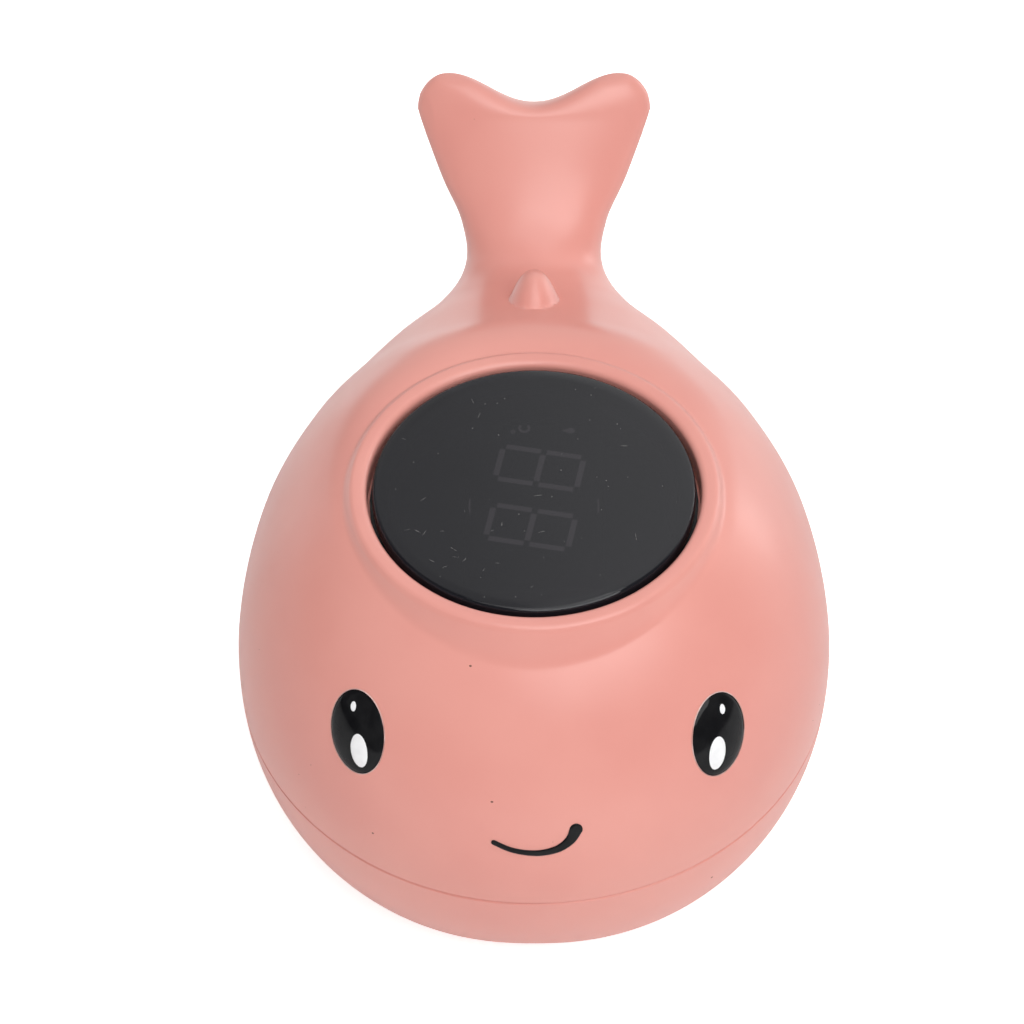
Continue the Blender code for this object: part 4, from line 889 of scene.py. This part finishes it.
# %% Battery cover with a soft edge
EDGE = 0.35 * MM
edge_levels = ((-EDGE, 0.0), (-EDGE * 0.3, EDGE * 0.3), (0.0, EDGE), (0.0, COVER_THICKNESS))
cover = stacked([(cover_outline(grow), height) for grow, height in edge_levels])
cover.name = "battery_cover_plate"
combine(cover, to_object("skin", outer.copy()), "INTERSECT")
for place in COVER_SCREWS:
    combine(cover, rod(HEAD_POCKET_RADIUS, -MM, HEAD_POCKET_DEPTH, place, 40), "DIFFERENCE")
    combine(cover, rod(COVER_HOLE, -MM, COVER_HOLE_TOP + MM, place, 24), "DIFFERENCE")
smooth_piece(cover, salmon, ["battery_cover"])

# %% [markdown]
# ## Eyes, glints and smile
# The eyes are glossy black domes of resin in shallow pockets, with two white prints each. They
# follow the hull, so their discs are laid on it ring by ring, with a rounded edge that catches the
# light. A pale ring in the gap round each eye is a painted highlight: it paints that edge's thin
# bright line into colour. The smile is a stroke of glossy paint that gets wider to one end.

# %% Black gloss, white print and the painted highlight round the eyes
black = finish("gloss_black", (0.006, 0.006, 0.007), (0.012, 0.012, 0.013), (300, 2, 0.35, 0.7),
               (0.02, 0.05, 700, 2, 0.3, 0.8), ((300, 0, 0.08, 0.05 * MM),), IOR=1.26)
white = finish("white_print", (0.85, 0.85, 0.86), (0.90, 0.90, 0.91), (900, 2, 0.3, 0.7), 0.3,
               ((3000, 1, 0.1, 0.01 * MM),))
# Pale pink colour of the ring round each eye: a painted highlight along the eye's edge.
rim_highlight = finish("painted_rim_highlight", (0.50, 0.27, 0.24), (0.70, 0.50, 0.47), (400, 2, 0.35, 0.65), 0.15,
              ((900, 1, 0.2, 0.03 * MM),))
print("made", black.name, white.name, rim_highlight.name)

# %% Eyes with their glints
EYE_PROUD = 0.25 * MM
DOME = ((0, 0.32), (0.2, 0.31), (0.4, 0.27), (0.6, 0.19), (0.78, 0.07), (0.88, -0.03), (0.94, -0.11),
        (0.975, -0.20))
dome_rows = [(share, EYE_PROUD + height * MM) for share, height in DOME] + [(1.0, 0.0)]
eye_rows = dome_rows + [(1.0, -EYE_DEPTH), (0.5, -EYE_DEPTH), (0, -EYE_DEPTH)]
glint_rows = [(share, height * MM) for share, height in
              ((0, 0.05), (0.5, 0.05), (0.93, 0.045), (1.0, 0.0), (1.0, -0.03), (0, -0.03))]
LARGE_GLINT = (1.15 * MM, 2.15 * MM, -0.55 * MM, -2.12 * MM)
SMALL_GLINT = (0.38 * MM, 0.60 * MM, 0.22 * MM, 3.25 * MM)
# Rows of the thin ring in the gap round each eye, which carries the painted highlight.
rim_highlight_rows = [(EYE_HALF[0] + edge * MM, EYE_HALF[1] + edge * MM, height * MM)
             for edge, height in ((0.01, -0.2), (0.01, 0.10), (0.10, 0.04), (0.10, -0.2))]


def eye_dome(x, y):
    """How far the eye stands off the hull at a local place."""
    share = math.hypot(x / EYE_HALF[0], y / EYE_HALF[1])
    return float(np.interp(share, *zip(*dome_rows)))


for side, word in ((-1, "left"), (1, "right")):
    matrix = eye_frame(side)
    # Pale ring round the eye: a painted highlight of the edge's bright line.
    smooth_piece(oval(f"{word}_eye_painted_rim", matrix, rim_highlight_rows, ring=True), rim_highlight, [], 50)
    made = oval(f"{word}_eye_dome", matrix, grown(EYE_HALF, eye_rows))
    smooth_piece(made, black, [f"{word}_eye"], 50)
    for size, (half_x, half_y, outward, upward) in (("large", LARGE_GLINT), ("small", SMALL_GLINT)):
        made = oval(f"{word}_eye_glint_{size}", matrix, grown((half_x, half_y), glint_rows),
                    (side * outward, upward), 40, eye_dome)
        smooth_piece(made, white, [f"{word}_glint_{size}"], 50)

# %% The smile
SMILE_LINE = ((-4.8, 32.8), (-2.5, 31.85), (0.3, 31.5), (2.75, 32.0), (4.3, 33.15), (5.0, 34.5))
SMILE_START_WIDTH, SMILE_END_WIDTH = 0.65 * MM, 1.6 * MM
SMILE_PROUD = 0.14 * MM
SMILE_SECTION = ((-1.0, 0.0), (-1.0, 0.45), (-0.9, 0.8), (-0.55, 1.0), (0.0, 1.06), (0.55, 1.0),
                 (0.9, 0.8), (1.0, 0.45), (1.0, 0.0))


def smooth_route(stops, count):
    """Points of a smooth curve through a few stops."""
    chain = [np.array(p, float) for p in (stops[0], *stops, stops[-1])]
    points = []
    for step in range(count):
        place = step / (count - 1) * (len(stops) - 1)
        start = min(int(place), len(stops) - 2)
        points.append(between(*chain[start:start + 4], place - start))
    return np.array(points)


def with_round_ends(line, width, caps=8):
    """Add round ends to a stroke; returns its centres, half widths and directions."""
    along = np.gradient(line, axis=0)
    along /= np.linalg.norm(along, axis=1, keepdims=True)
    turns = [math.pi / 2 * step / caps for step in range(caps + 1)]
    centres = [line[0] - along[0] * width[0] * math.cos(turn) for turn in turns[:-1]]
    centres += [*line, *(line[-1] + along[-1] * width[-1] * math.sin(turn) for turn in turns[1:])]
    halves = [width[0] * math.sin(turn) for turn in turns[:-1]]
    halves += [*width, *(width[-1] * math.cos(turn) for turn in turns[1:])]
    return zip(centres, halves, [along[0]] * caps + [*along] + [along[-1]] * caps)


def make_smile():
    """A stroke with round ends and a soft edge, laid on the hull."""
    steps = 64
    line = smooth_route([(x * MM, z * MM) for x, z in SMILE_LINE], steps)
    share = np.linspace(0, 1, steps)
    width = (SMILE_START_WIDTH + (SMILE_END_WIDTH - SMILE_START_WIDTH) * share ** 2) / 2
    bm = bmesh.new()
    rows = []
    for centre, half_width, direction in with_round_ends(line, width):
        side = np.array([-direction[1], direction[0]])
        row = []
        for offset, height in SMILE_SECTION:
            point, normal = from_front(*(centre + side * half_width * offset))
            row.append(bm.verts.new(point + normal * (0.01 * MM + SMILE_PROUD * height)))
        rows.append(row)
    join_rows(bm, rows)
    bm.faces.new(rows[0])
    bm.faces.new(rows[-1][::-1])
    bmesh.ops.remove_doubles(bm, verts=bm.verts, dist=0.002 * MM)
    return to_object("smile_stroke", bm, outward=True)


smooth_piece(make_smile(), black, ["smile"], 50)

# %% [markdown]
# ## The smoked window
# The window is a disc of smoked acrylic with a small polished bevel. It looks almost black, but a
# little light goes through, and the unlit digits of the readout show as faint ghosts; they get a
# painted glow further down. The shader mixes a dark body with some clear glass, and dust makes its
# roughness uneven.

# %% Lens
LENS_TOP, LENS_BOTTOM, LENS_RADIUS = 55.85 * MM, 53.5 * MM, 19.65 * MM


def turned(name, profile, segments=160):
    """Turn (radius, height) points about Z."""
    bm = bmesh.new()
    verts = [bm.verts.new((radius, 0, height)) for radius, height in profile]
    edges = [bm.edges.new(pair) for pair in zip(verts, verts[1:])]
    bmesh.ops.spin(bm, geom=verts + edges, axis=(0, 0, 1), cent=(0, 0, 0), angle=2 * math.pi,
                   steps=segments, use_merge=True)
    bmesh.ops.remove_doubles(bm, verts=bm.verts, dist=0.0005 * MM)
    return to_object(name, bm, outward=True)


smoked = finish("smoked_acrylic", (0.032, 0.032, 0.042), (0.038, 0.038, 0.049), (60, 2, 0.3, 0.7),
                (0.03, 0.07, 240, 1, 0.3, 0.8), ((70, 0, 0.03, 0.1 * MM),),
                IOR=1.38, Transmission_Weight=0.75)
lens_profile = [(radius, LENS_TOP) for radius in (0, 10 * MM, 18 * MM)]
lens_profile += [(LENS_RADIUS - inward * MM, LENS_TOP - down * MM)
                 for inward, down in ((0.5, 0), (0.22, 0.12), (0.06, 0.3), (0, 0.55))]
lens_profile += [(LENS_RADIUS, LENS_BOTTOM), (0, LENS_BOTTOM)]
smooth_piece(turned("smoked_window", lens_profile), smoked, ["display_lens"], 40)

# %% [markdown]
# ## The other finishes
# Inside and underneath are parts of other stuffs: matt black plastic, soft rubber, plated steel, a
# green board, the sleeves of two cells and coloured wires. Most differ only in their two colours,
# how coarse their grain is, how rough they are and how deep the grain goes, so one function makes
# them from those numbers. Steel, the board and the cells need a pattern of their own.

# %% Finishes made by one recipe
def grained(name, dark, pale, scale, rough, depth):
    """A finish whose three noises all follow from one scale."""
    return finish(name, dark, pale, (scale, 3, 0.3, 0.7), (*rough, scale * 2.3, 2, 0.25, 0.75),
                  ((scale * 5, 2, 0.3, depth),))


matt_black = grained("matt_black", (0.010, 0.010, 0.011), (0.020, 0.020, 0.022), 300, (0.42, 0.6),
                     0.02 * MM)
seal_rubber = grained("seal_rubber", (0.020, 0.020, 0.021), (0.036, 0.036, 0.038), 500, (0.62, 0.8),
                      0.03 * MM)
white_cover, yellow_cover, red_cover = (
    grained(f"{word}_wire_cover", dark, pale, 600, (0.35, 0.5), 0.01 * MM)
    for word, dark, pale in (("white", (0.62, 0.62, 0.60), (0.72, 0.72, 0.70)),
                             ("yellow", (0.72, 0.50, 0.06), (0.80, 0.58, 0.09)),
                             ("red", (0.48, 0.02, 0.02), (0.60, 0.03, 0.03))))


# %% Steel, board and cells
def drift(tree, scale, detail, dark, pale):
    """A colour that drifts between two with noise."""
    return blend_colour(tree, spread(tree, grain(tree, scale, detail), 0.3, 0.7), dark, pale)


def plated_steel():
    material, tree, output = new_material("plated_steel")
    lines = grain(tree, 2200, 3, axis=0, length=9)
    colour = drift(tree, 240, 3, (0.50, 0.50, 0.51), (0.66, 0.66, 0.66))
    roughness = spread(tree, lines, 0.2, 0.8, 0.14, 0.26, smooth=False)
    finish_with(tree, output, colour, roughness, bump(tree, lines, 0.15, 0.01 * MM), Metallic=1.0)
    return material


def green_board():
    material, tree, output = new_material("green_board")
    weave = node(tree, "ShaderNodeTexBrick", Scale=260, Mortar_Size=0.06)
    tree.links.new(node(tree, "ShaderNodeTexCoord").outputs["Object"], weave.inputs["Vector"])
    colour = drift(tree, 180, 2, (0.010, 0.095, 0.035), (0.016, 0.135, 0.050))
    threads = weave.outputs["Fac"]
    colour = blend_colour(tree, maths(tree, "MULTIPLY", threads, 0.5), colour, (0.05, 0.22, 0.09))
    finish_with(tree, output, colour, 0.38, bump(tree, threads, 0.2, 0.03 * MM))
    return material


def cell_sleeve():
    """Printed sleeve with a dark band towards each end; the ends themselves are bare steel."""
    material, tree, output = new_material("cell_sleeve")
    place = node(tree, "ShaderNodeSeparateXYZ")
    tree.links.new(node(tree, "ShaderNodeTexCoord").outputs["Object"], place.inputs[0])
    off_middle = maths(tree, "ABSOLUTE", maths(tree, "SUBTRACT", place.outputs["Y"], BAY_Y))
    colour = drift(tree, 300, 2, (0.40, 0.41, 0.44), (0.48, 0.49, 0.52))
    for start, shade in ((15 * MM, (0.035, 0.05, 0.09)), (21 * MM, (0.60, 0.60, 0.60))):
        beyond = maths(tree, "GREATER_THAN", off_middle, start)
        colour = blend_colour(tree, beyond, colour, shade)
    brushed = bump(tree, grain(tree, 1800, 3, axis=1, length=6), 0.15, 0.01 * MM)
    shader = finish_with(tree, output, colour, 0.3, brushed)
    tree.links.new(spread(tree, beyond, 0.0, 1.0, 0.35, 1.0), shader.inputs["Metallic"])
    return material


steel, board, sleeve = plated_steel(), green_board(), cell_sleeve()
print("finishes so far:", len(bpy.data.materials))

# %% [markdown]
# ## Trees of geometry nodes
# What is there many times, such as screws, segments, specks and scratches, is one small shape set on
# many points. A tree of geometry nodes does that: it makes the shape from sizes that the tree shows
# as named inputs, sets it on the points, makes real faces of the copies and gives them their finish.
# The result is then turned into a plain mesh.

# %% Helpers for trees
def new_tree(name, sizes):
    """A tree with one geometry input, named sizes and a finish."""
    tree = bpy.data.node_groups.new(name, "GeometryNodeTree")
    face = tree.interface
    face.new_socket("Points", in_out="INPUT", socket_type="NodeSocketGeometry")
    for label in sizes:
        face.new_socket(label, in_out="INPUT", socket_type="NodeSocketFloat")
    face.new_socket("Finish", in_out="INPUT", socket_type="NodeSocketMaterial")
    face.new_socket("Pieces", in_out="OUTPUT", socket_type="NodeSocketGeometry")
    return tree, tree.nodes.new("NodeGroupInput").outputs, tree.nodes.new("NodeGroupOutput")


def vector(tree, x=0.0, y=0.0, z=0.0):
    """A vector of sockets or numbers."""
    made = node(tree, "ShaderNodeCombineXYZ")
    for socket, value in zip(made.inputs, (x, y, z)):
        put(tree, value, socket)
    return made.outputs[0]


def feed(tree, kind, links, **settings):
    """A node with some of its inputs linked by name."""
    made = node(tree, kind, **settings)
    for label, source in links.items():
        for one in source if isinstance(source, list) else [source]:
            tree.links.new(one, made.inputs[label])
    return made


def moved(tree, shape, offset):
    return feed(tree, "GeometryNodeTransform", {"Geometry": shape, "Translation": offset}).outputs[0]


def random_between(tree, low, high, seed):
    made = feed(tree, "FunctionNodeRandomValue", {}, data_type="FLOAT", Seed=seed)
    made.inputs[2].default_value, made.inputs[3].default_value = low, high
    return made.outputs[1]


def end_tree(tree, inputs, output, links):
    """Set a shape on the points, make it real and give it its finish."""
    copies = feed(tree, "GeometryNodeInstanceOnPoints", links).outputs[0]
    real = feed(tree, "GeometryNodeRealizeInstances", {"Geometry": copies}).outputs[0]
    dressed = feed(tree, "GeometryNodeSetMaterial", {"Geometry": real, "Material": inputs["Finish"]})
    tree.links.new(dressed.outputs[0], output.inputs[0])


def grow(name, base, tree, look, **sizes):
    """Run a tree on an object and keep the result as a plain mesh object."""
    modifier = base.modifiers.new("grow", "NODES")
    modifier.node_group = tree
    values = {label.replace("_", " "): value for label, value in sizes.items()}
    values["Finish"] = look
    for item in tree.interface.items_tree:
        if item.in_out == "INPUT" and item.name in values:
            modifier[item.identifier] = values[item.name]
    mesh = bpy.data.meshes.new_from_object(base.evaluated_get(bpy.context.evaluated_depsgraph_get()))
    bpy.data.objects.remove(base, do_unlink=True)
    mesh.name = name
    made = bpy.data.objects.new(name, mesh)
    scene.collection.objects.link(made)
    return made


def points_object(places, turns=None):
    """Loose points, each with a turn about Z."""
    mesh = bpy.data.meshes.new("points")
    mesh.from_pydata(places, [], [])
    mesh.attributes.new("turn", "FLOAT", "POINT").data.foreach_set("value", turns or [0.0] * len(places))
    made = bpy.data.objects.new("points", mesh)
    scene.collection.objects.link(made)
    return made


# %% [markdown]
# ## Screws
# Ten pan-head screws of three sizes hold the thing together. Each is a head with a softened rim, a
# shank with a point, and a cross recess cut by two bars. In the real thing every screw stops at its
# own angle, so a random turn with a fixed seed does that here.

# %% Tree of a screw
def screw_tree():
    sizes = ["Head Radius", "Head Height", "Shank Radius", "Shank Length"]
    tree, inputs, output = new_tree("screws", sizes)
    head, height, shank, length = (inputs[label] for label in sizes)

    def times(value, factor):
        return maths(tree, "MULTIPLY", value, factor)

    def raised(kind, offset, links, sides):
        made = feed(tree, kind, links, Vertices=sides).outputs["Mesh"]
        return moved(tree, made, vector(tree, z=offset))

    third = maths(tree, "DIVIDE", height, 3.0)
    straight = maths(tree, "SUBTRACT", length, shank)
    disc, rim = {"Radius": head, "Depth": times(third, 2.0)}, {
        "Radius Top": head, "Radius Bottom": maths(tree, "SUBTRACT", head, third), "Depth": third}
    body, point = {"Radius": shank, "Depth": straight}, {
        "Radius Top": times(shank, 0.3), "Radius Bottom": shank, "Depth": shank}
    parts = [raised("GeometryNodeMeshCylinder", times(third, -1.0), disc, 40),
             raised("GeometryNodeMeshCone", times(height, -1.0), rim, 40),
             raised("GeometryNodeMeshCylinder", times(straight, 0.5), body, 24),
             raised("GeometryNodeMeshCone", straight, point, 24)]
    whole = feed(tree, "GeometryNodeMeshBoolean", {"Mesh 2": parts}, operation="UNION", solver="EXACT")
    reach, width = times(head, 1.15), times(head, 0.22)
    down = vector(tree, z=times(height, -1.0))
    bars = []
    for size in (vector(tree, reach, width, height), vector(tree, width, reach, height)):
        bar = feed(tree, "GeometryNodeMeshCube", {"Size": size}).outputs["Mesh"]
        bars.append(moved(tree, bar, down))
    screw = feed(tree, "GeometryNodeMeshBoolean", {"Mesh 1": whole.outputs["Mesh"], "Mesh 2": bars},
                 operation="DIFFERENCE", solver="EXACT").outputs["Mesh"]
    turn = vector(tree, z=random_between(tree, 0.0, math.pi, 7))
    end_tree(tree, inputs, output, {"Points": inputs["Points"], "Instance": screw, "Rotation": turn})
    return tree


screws = screw_tree()
BOARD_SCREWS = [(x * MM, y * MM) for x, y in ((-14.4, -12), (14.4, -12), (-14.4, 12), (14.4, 12))]
HEAD_HEIGHT = 1.2 * MM
screw_sets = {"board_screw": (BOARD_SCREWS, 44.1, 1.7, 0.8, 4.2, (1, 2, 3, 4)),
              "hull_screw": (HULL_SCREWS, 4.5, 2.3, 1.2, 20.0, (1, 2, 3, 4)),
              "cover_screw": (COVER_SCREWS, 1.5, 2.1, 1.0, 5.0, ("left", "right"))}
for name, (places, seat, head, shank, length, endings) in screw_sets.items():
    points = points_object([(x, y, seat * MM) for x, y in places])
    made = grow(f"{name}s", points, screws, steel, Head_Radius=head * MM, Head_Height=HEAD_HEIGHT,
                Shank_Radius=shank * MM, Shank_Length=length * MM)
    smooth_piece(made, steel, [f"{name}_{ending}" for ending in endings], 35)

# %% [markdown]
# ## Ghosts of the readout
# With the display off, its unlit segments still show under the smoked window as faint brown bars. The
# number is read with the whale's nose to the left, so the two digits lie on their sides, and the
# module sits a little askew. A tree sets one bar on fourteen points; every point carries its own turn.
# The small signs beside the digits are thin rings and a drop. Bars and signs share one finish with a
# faint painted glow, which makes them show through the dark window though the display is off.

# %% Tree of a bar
def bar_tree():
    tree, inputs, output = new_tree("bars", ["Bar Length", "Bar Width", "Bar Height"])
    size = vector(tree, inputs["Bar Length"], inputs["Bar Width"], inputs["Bar Height"])
    bar = feed(tree, "GeometryNodeMeshCube", {"Size": size}).outputs["Mesh"]
    turn = feed(tree, "GeometryNodeInputNamedAttribute", {}, data_type="FLOAT", Name="turn").outputs[0]
    end_tree(tree, inputs, output,
             {"Points": inputs["Points"], "Instance": bar, "Rotation": vector(tree, z=turn)})
    return tree


# %% The unlit segments
# Strength of a painted glow: the unlit bars and signs are no lamp.
SEGMENT_PAINTED_GLOW = 0.9
DISPLAY_TOP, FILM = 51.9 * MM, 0.05 * MM
DIGIT_MIDDLES, DIGIT_HALF, DIGIT_TURN = ((0.7, 5.7), (-0.4, -3.9)), (5.05, 2.7), math.radians(-11)
BAR_LENGTH, BAR_WIDTH = 4.3 * MM, 0.7 * MM
# Brown bars with a faint emission, which is a painted glow.
segment_painted_glow_finish = finish("segment_with_painted_glow", (0.10, 0.08, 0.07), (0.14, 0.11, 0.10), (700, 2, 0.3, 0.7), 0.5,
               ((2500, 1, 0.1, 0.01 * MM),),
               Emission_Color=(1.0, 0.86, 0.76, 1.0), Emission_Strength=SEGMENT_PAINTED_GLOW)
places, turns = [], []
half_x, half_y = DIGIT_HALF
bars = [(x, 0, 90) for x in (-half_x, 0, half_x)]
bars += [(x * half_x / 2, y * half_y, 0) for x in (-1, 1) for y in (-1, 1)]
for middle in DIGIT_MIDDLES:
    for x, y, turn in bars:
        place = Vector(middle) + Matrix.Rotation(DIGIT_TURN, 2) @ Vector((x, y))
        places.append((place.x * MM, place.y * MM, DISPLAY_TOP + 0.03 * MM))
        turns.append(math.radians(turn) + DIGIT_TURN)
digits = grow("readout_segments", points_object(places, turns), bar_tree(), segment_painted_glow_finish,
              Bar_Length=BAR_LENGTH, Bar_Width=BAR_WIDTH, Bar_Height=FILM)
smooth_piece(digits, segment_painted_glow_finish, [])


# %% Small signs beside the digits
def band(middle, inner, outer, start, end, steps=24):
    """Outline of a piece of a ring, between two angles in degrees."""
    angles = [math.radians(start + (end - start) * step / steps) for step in range(steps + 1)]
    ring = [(inner * math.cos(a), inner * math.sin(a)) for a in reversed(angles)]
    ring += [(outer * math.cos(a), outer * math.sin(a)) for a in angles]
    return [((middle[0] + x) * MM, (middle[1] + y) * MM) for x, y in ring]


def drop(middle, radius, tip):
    """Outline of a drop that points to -X."""
    angles = [math.radians(angle) for angle in range(-130, 131, 10)]
    line = [(radius * math.cos(a), radius * math.sin(a)) for a in angles] + [(-tip, 0.0)]
    return [((middle[0] + x) * MM, (middle[1] + y) * MM) for x, y in line]


signs = bmesh.new()
outlines = [band((-1.2, 12.3), 0.45, 0.75, -225, 45), band((-2.6, 11.7), 0.14, 0.3, 0, 359),
            drop((4.6, 11.9), 0.45, 1.15), band((0, -0.5), 7.75, 7.95, 172, 188),
            band((0, -0.5), 7.75, 7.95, -8, 8)]
for outline in outlines:
    rows = [[signs.verts.new((x, y, DISPLAY_TOP + height)) for x, y in outline]
            for height in (0.1 * FILM, 1.1 * FILM)]
    join_rows(signs, rows)
    signs.faces.new(rows[0][::-1])
    signs.faces.new(rows[1])
smooth_piece(to_object("readout_signs", signs, outward=True), segment_painted_glow_finish, [])

# %% [markdown]
# ## Dust and scratches
# The window has been wiped many times, so short hairline scratches and dust lie on it, most of them
# towards one side. A few dark specks stick to the whale's skin. Both are scattered by a tree with a
# fixed seed: points are strewn over a patch of surface, and each gets a small flat grain that lies on
# the surface, in a random size and turn.

# %% Tree of strewn grains
def strewn_tree(seed):
    tree, inputs, output = new_tree("strewn", ["Density", "Grain Length", "Grain Width", "Grain Height"])
    spots = feed(tree, "GeometryNodeDistributePointsOnFaces",
                 {"Mesh": inputs["Points"], "Density": inputs["Density"]},
                 distribute_method="RANDOM", Seed=seed).outputs
    size = vector(tree, inputs["Grain Length"], inputs["Grain Width"], inputs["Grain Height"])
    ball = feed(tree, "GeometryNodeMeshIcoSphere", {}, Radius=0.5, Subdivisions=2).outputs["Mesh"]
    ball = feed(tree, "GeometryNodeTransform", {"Geometry": ball, "Scale": size}).outputs[0]
    spin = vector(tree, z=random_between(tree, 0.0, 2 * math.pi, seed + 1))
    turn = feed(tree, "FunctionNodeRotateRotation", {"Rotation": spots["Rotation"], "Rotate By": spin},
                rotation_space="LOCAL").outputs[0]
    scale = random_between(tree, 0.45, 1.5, seed + 2)
    end_tree(tree, inputs, output,
             {"Points": spots["Points"], "Instance": ball, "Rotation": turn, "Scale": scale})
    return tree


def patch_disc(middle, radius, height):
    """A flat disc to strew grains on, with its face up."""
    bm = bmesh.new()
    bmesh.ops.create_circle(bm, cap_ends=True, segments=48, radius=radius)
    bmesh.ops.translate(bm, vec=(middle[0], middle[1], height), verts=bm.verts)
    return to_object("patch", bm)


dust = grained("pale_dust", (0.30, 0.29, 0.28), (0.46, 0.45, 0.44), 2000, (0.6, 0.8), 0.01 * MM)
crumb = grained("dark_crumbs", (0.16, 0.07, 0.05), (0.26, 0.11, 0.08), 2000, (0.5, 0.7), 0.01 * MM)
strewn = {
    "window_hairlines": (patch_disc((0, 0), 18.2 * MM, LENS_TOP), 3, 11000, 0.9, 0.018, 0.008),
    "window_scuffs": (patch_disc((-9 * MM, -9 * MM), 6 * MM, LENS_TOP), 11, 110000, 0.7, 0.018, 0.008),
    "window_dust": (patch_disc((0, 0), 18.6 * MM, LENS_TOP), 5, 42000, 0.08, 0.06, 0.03),
}
for name, (base, seed, density, length, width, height) in strewn.items():
    made = grow(name, base, strewn_tree(seed), dust, Density=density, Grain_Length=length * MM,
                Grain_Width=width * MM, Grain_Height=height * MM)
    smooth_piece(made, dust, [])

# %% Specks on the skin
SPECKS = ((-7.5, 51.0, 0.16), (-5.0, 38.0, 0.17), (-19.5, 29.0, 0.14), (22.0, 17.0, 0.16))
KEEP_OFF_SIDE, KEEP_OFF_THORN = 36.8 * MM, 5 * MM


def bare_of_crumbs(place):
    """Whether a place on the skin is below the seam, round the window, at the side or by the thorn."""
    return (place.z < SEAM_HEIGHT + MM or place.xy.length < CROWN_RADIUS or abs(place.x) > KEEP_OFF_SIDE
            or (place.xy - Vector((0, FIN_Y))).length < KEEP_OFF_THORN)


skin_patch = fine_skin.copy()
hidden = [face for face in skin_patch.faces if bare_of_crumbs(face.calc_center_median())]
bmesh.ops.delete(skin_patch, geom=hidden, context="FACES")
made = grow("skin_crumbs", to_object("patch", skin_patch), strewn_tree(21), crumb, Density=1600.0,
            Grain_Length=0.11 * MM, Grain_Width=0.08 * MM, Grain_Height=0.04 * MM)
smooth_piece(made, crumb, [])
large = bmesh.new()
flat = Matrix.Diagonal((1.0, 0.8, 0.35, 1.0))
for x, z, radius in SPECKS:
    placing = frame_at(*from_front(x * MM, z * MM), Vector((0, 0, 1))) @ flat
    bmesh.ops.create_icosphere(large, subdivisions=2, radius=radius * MM, matrix=placing)
smooth_piece(to_object("skin_specks", large), crumb, [])

# %% [markdown]
# ## The parts that stay
# The rest of the CAD pieces already have the right shape, so they only get their finish through the
# material slots of their objects.

# %% Dress the remaining CAD pieces
stay = {
    matt_black: ("display_module", "control_chip", "thermistor", "battery_wire_black"),
    seal_rubber: ("lens_gasket", "hull_seal", "cover_seal"),
    board: ("display_board",),
    sleeve: ("battery_left", "battery_right"),
    steel: ("link_contact", "link_spring", "positive_terminal", "negative_terminal", "negative_spring",
            "sensor_cap", "water_pin_left", "water_pin_right"),
    white_cover: ("sensor_wire_left", "sensor_wire_right"),
    yellow_cover: ("pin_wire_left", "pin_wire_right"),
    red_cover: ("battery_wire_red",),
}
for look, names in stay.items():
    for name in names:
        for slot in nodes[name].material_slots:
            slot.link = "OBJECT"
            slot.material = look
showing = sum(not cad.hide_render for cad in nodes.values())
print(sum(map(len, stay.values())), "CAD pieces stay;", showing, "show")

# %% [markdown]
# ## The end
# The colours go out plainly, with the Standard view transform.

# %% Finish
scene.view_settings.view_transform = "Standard"
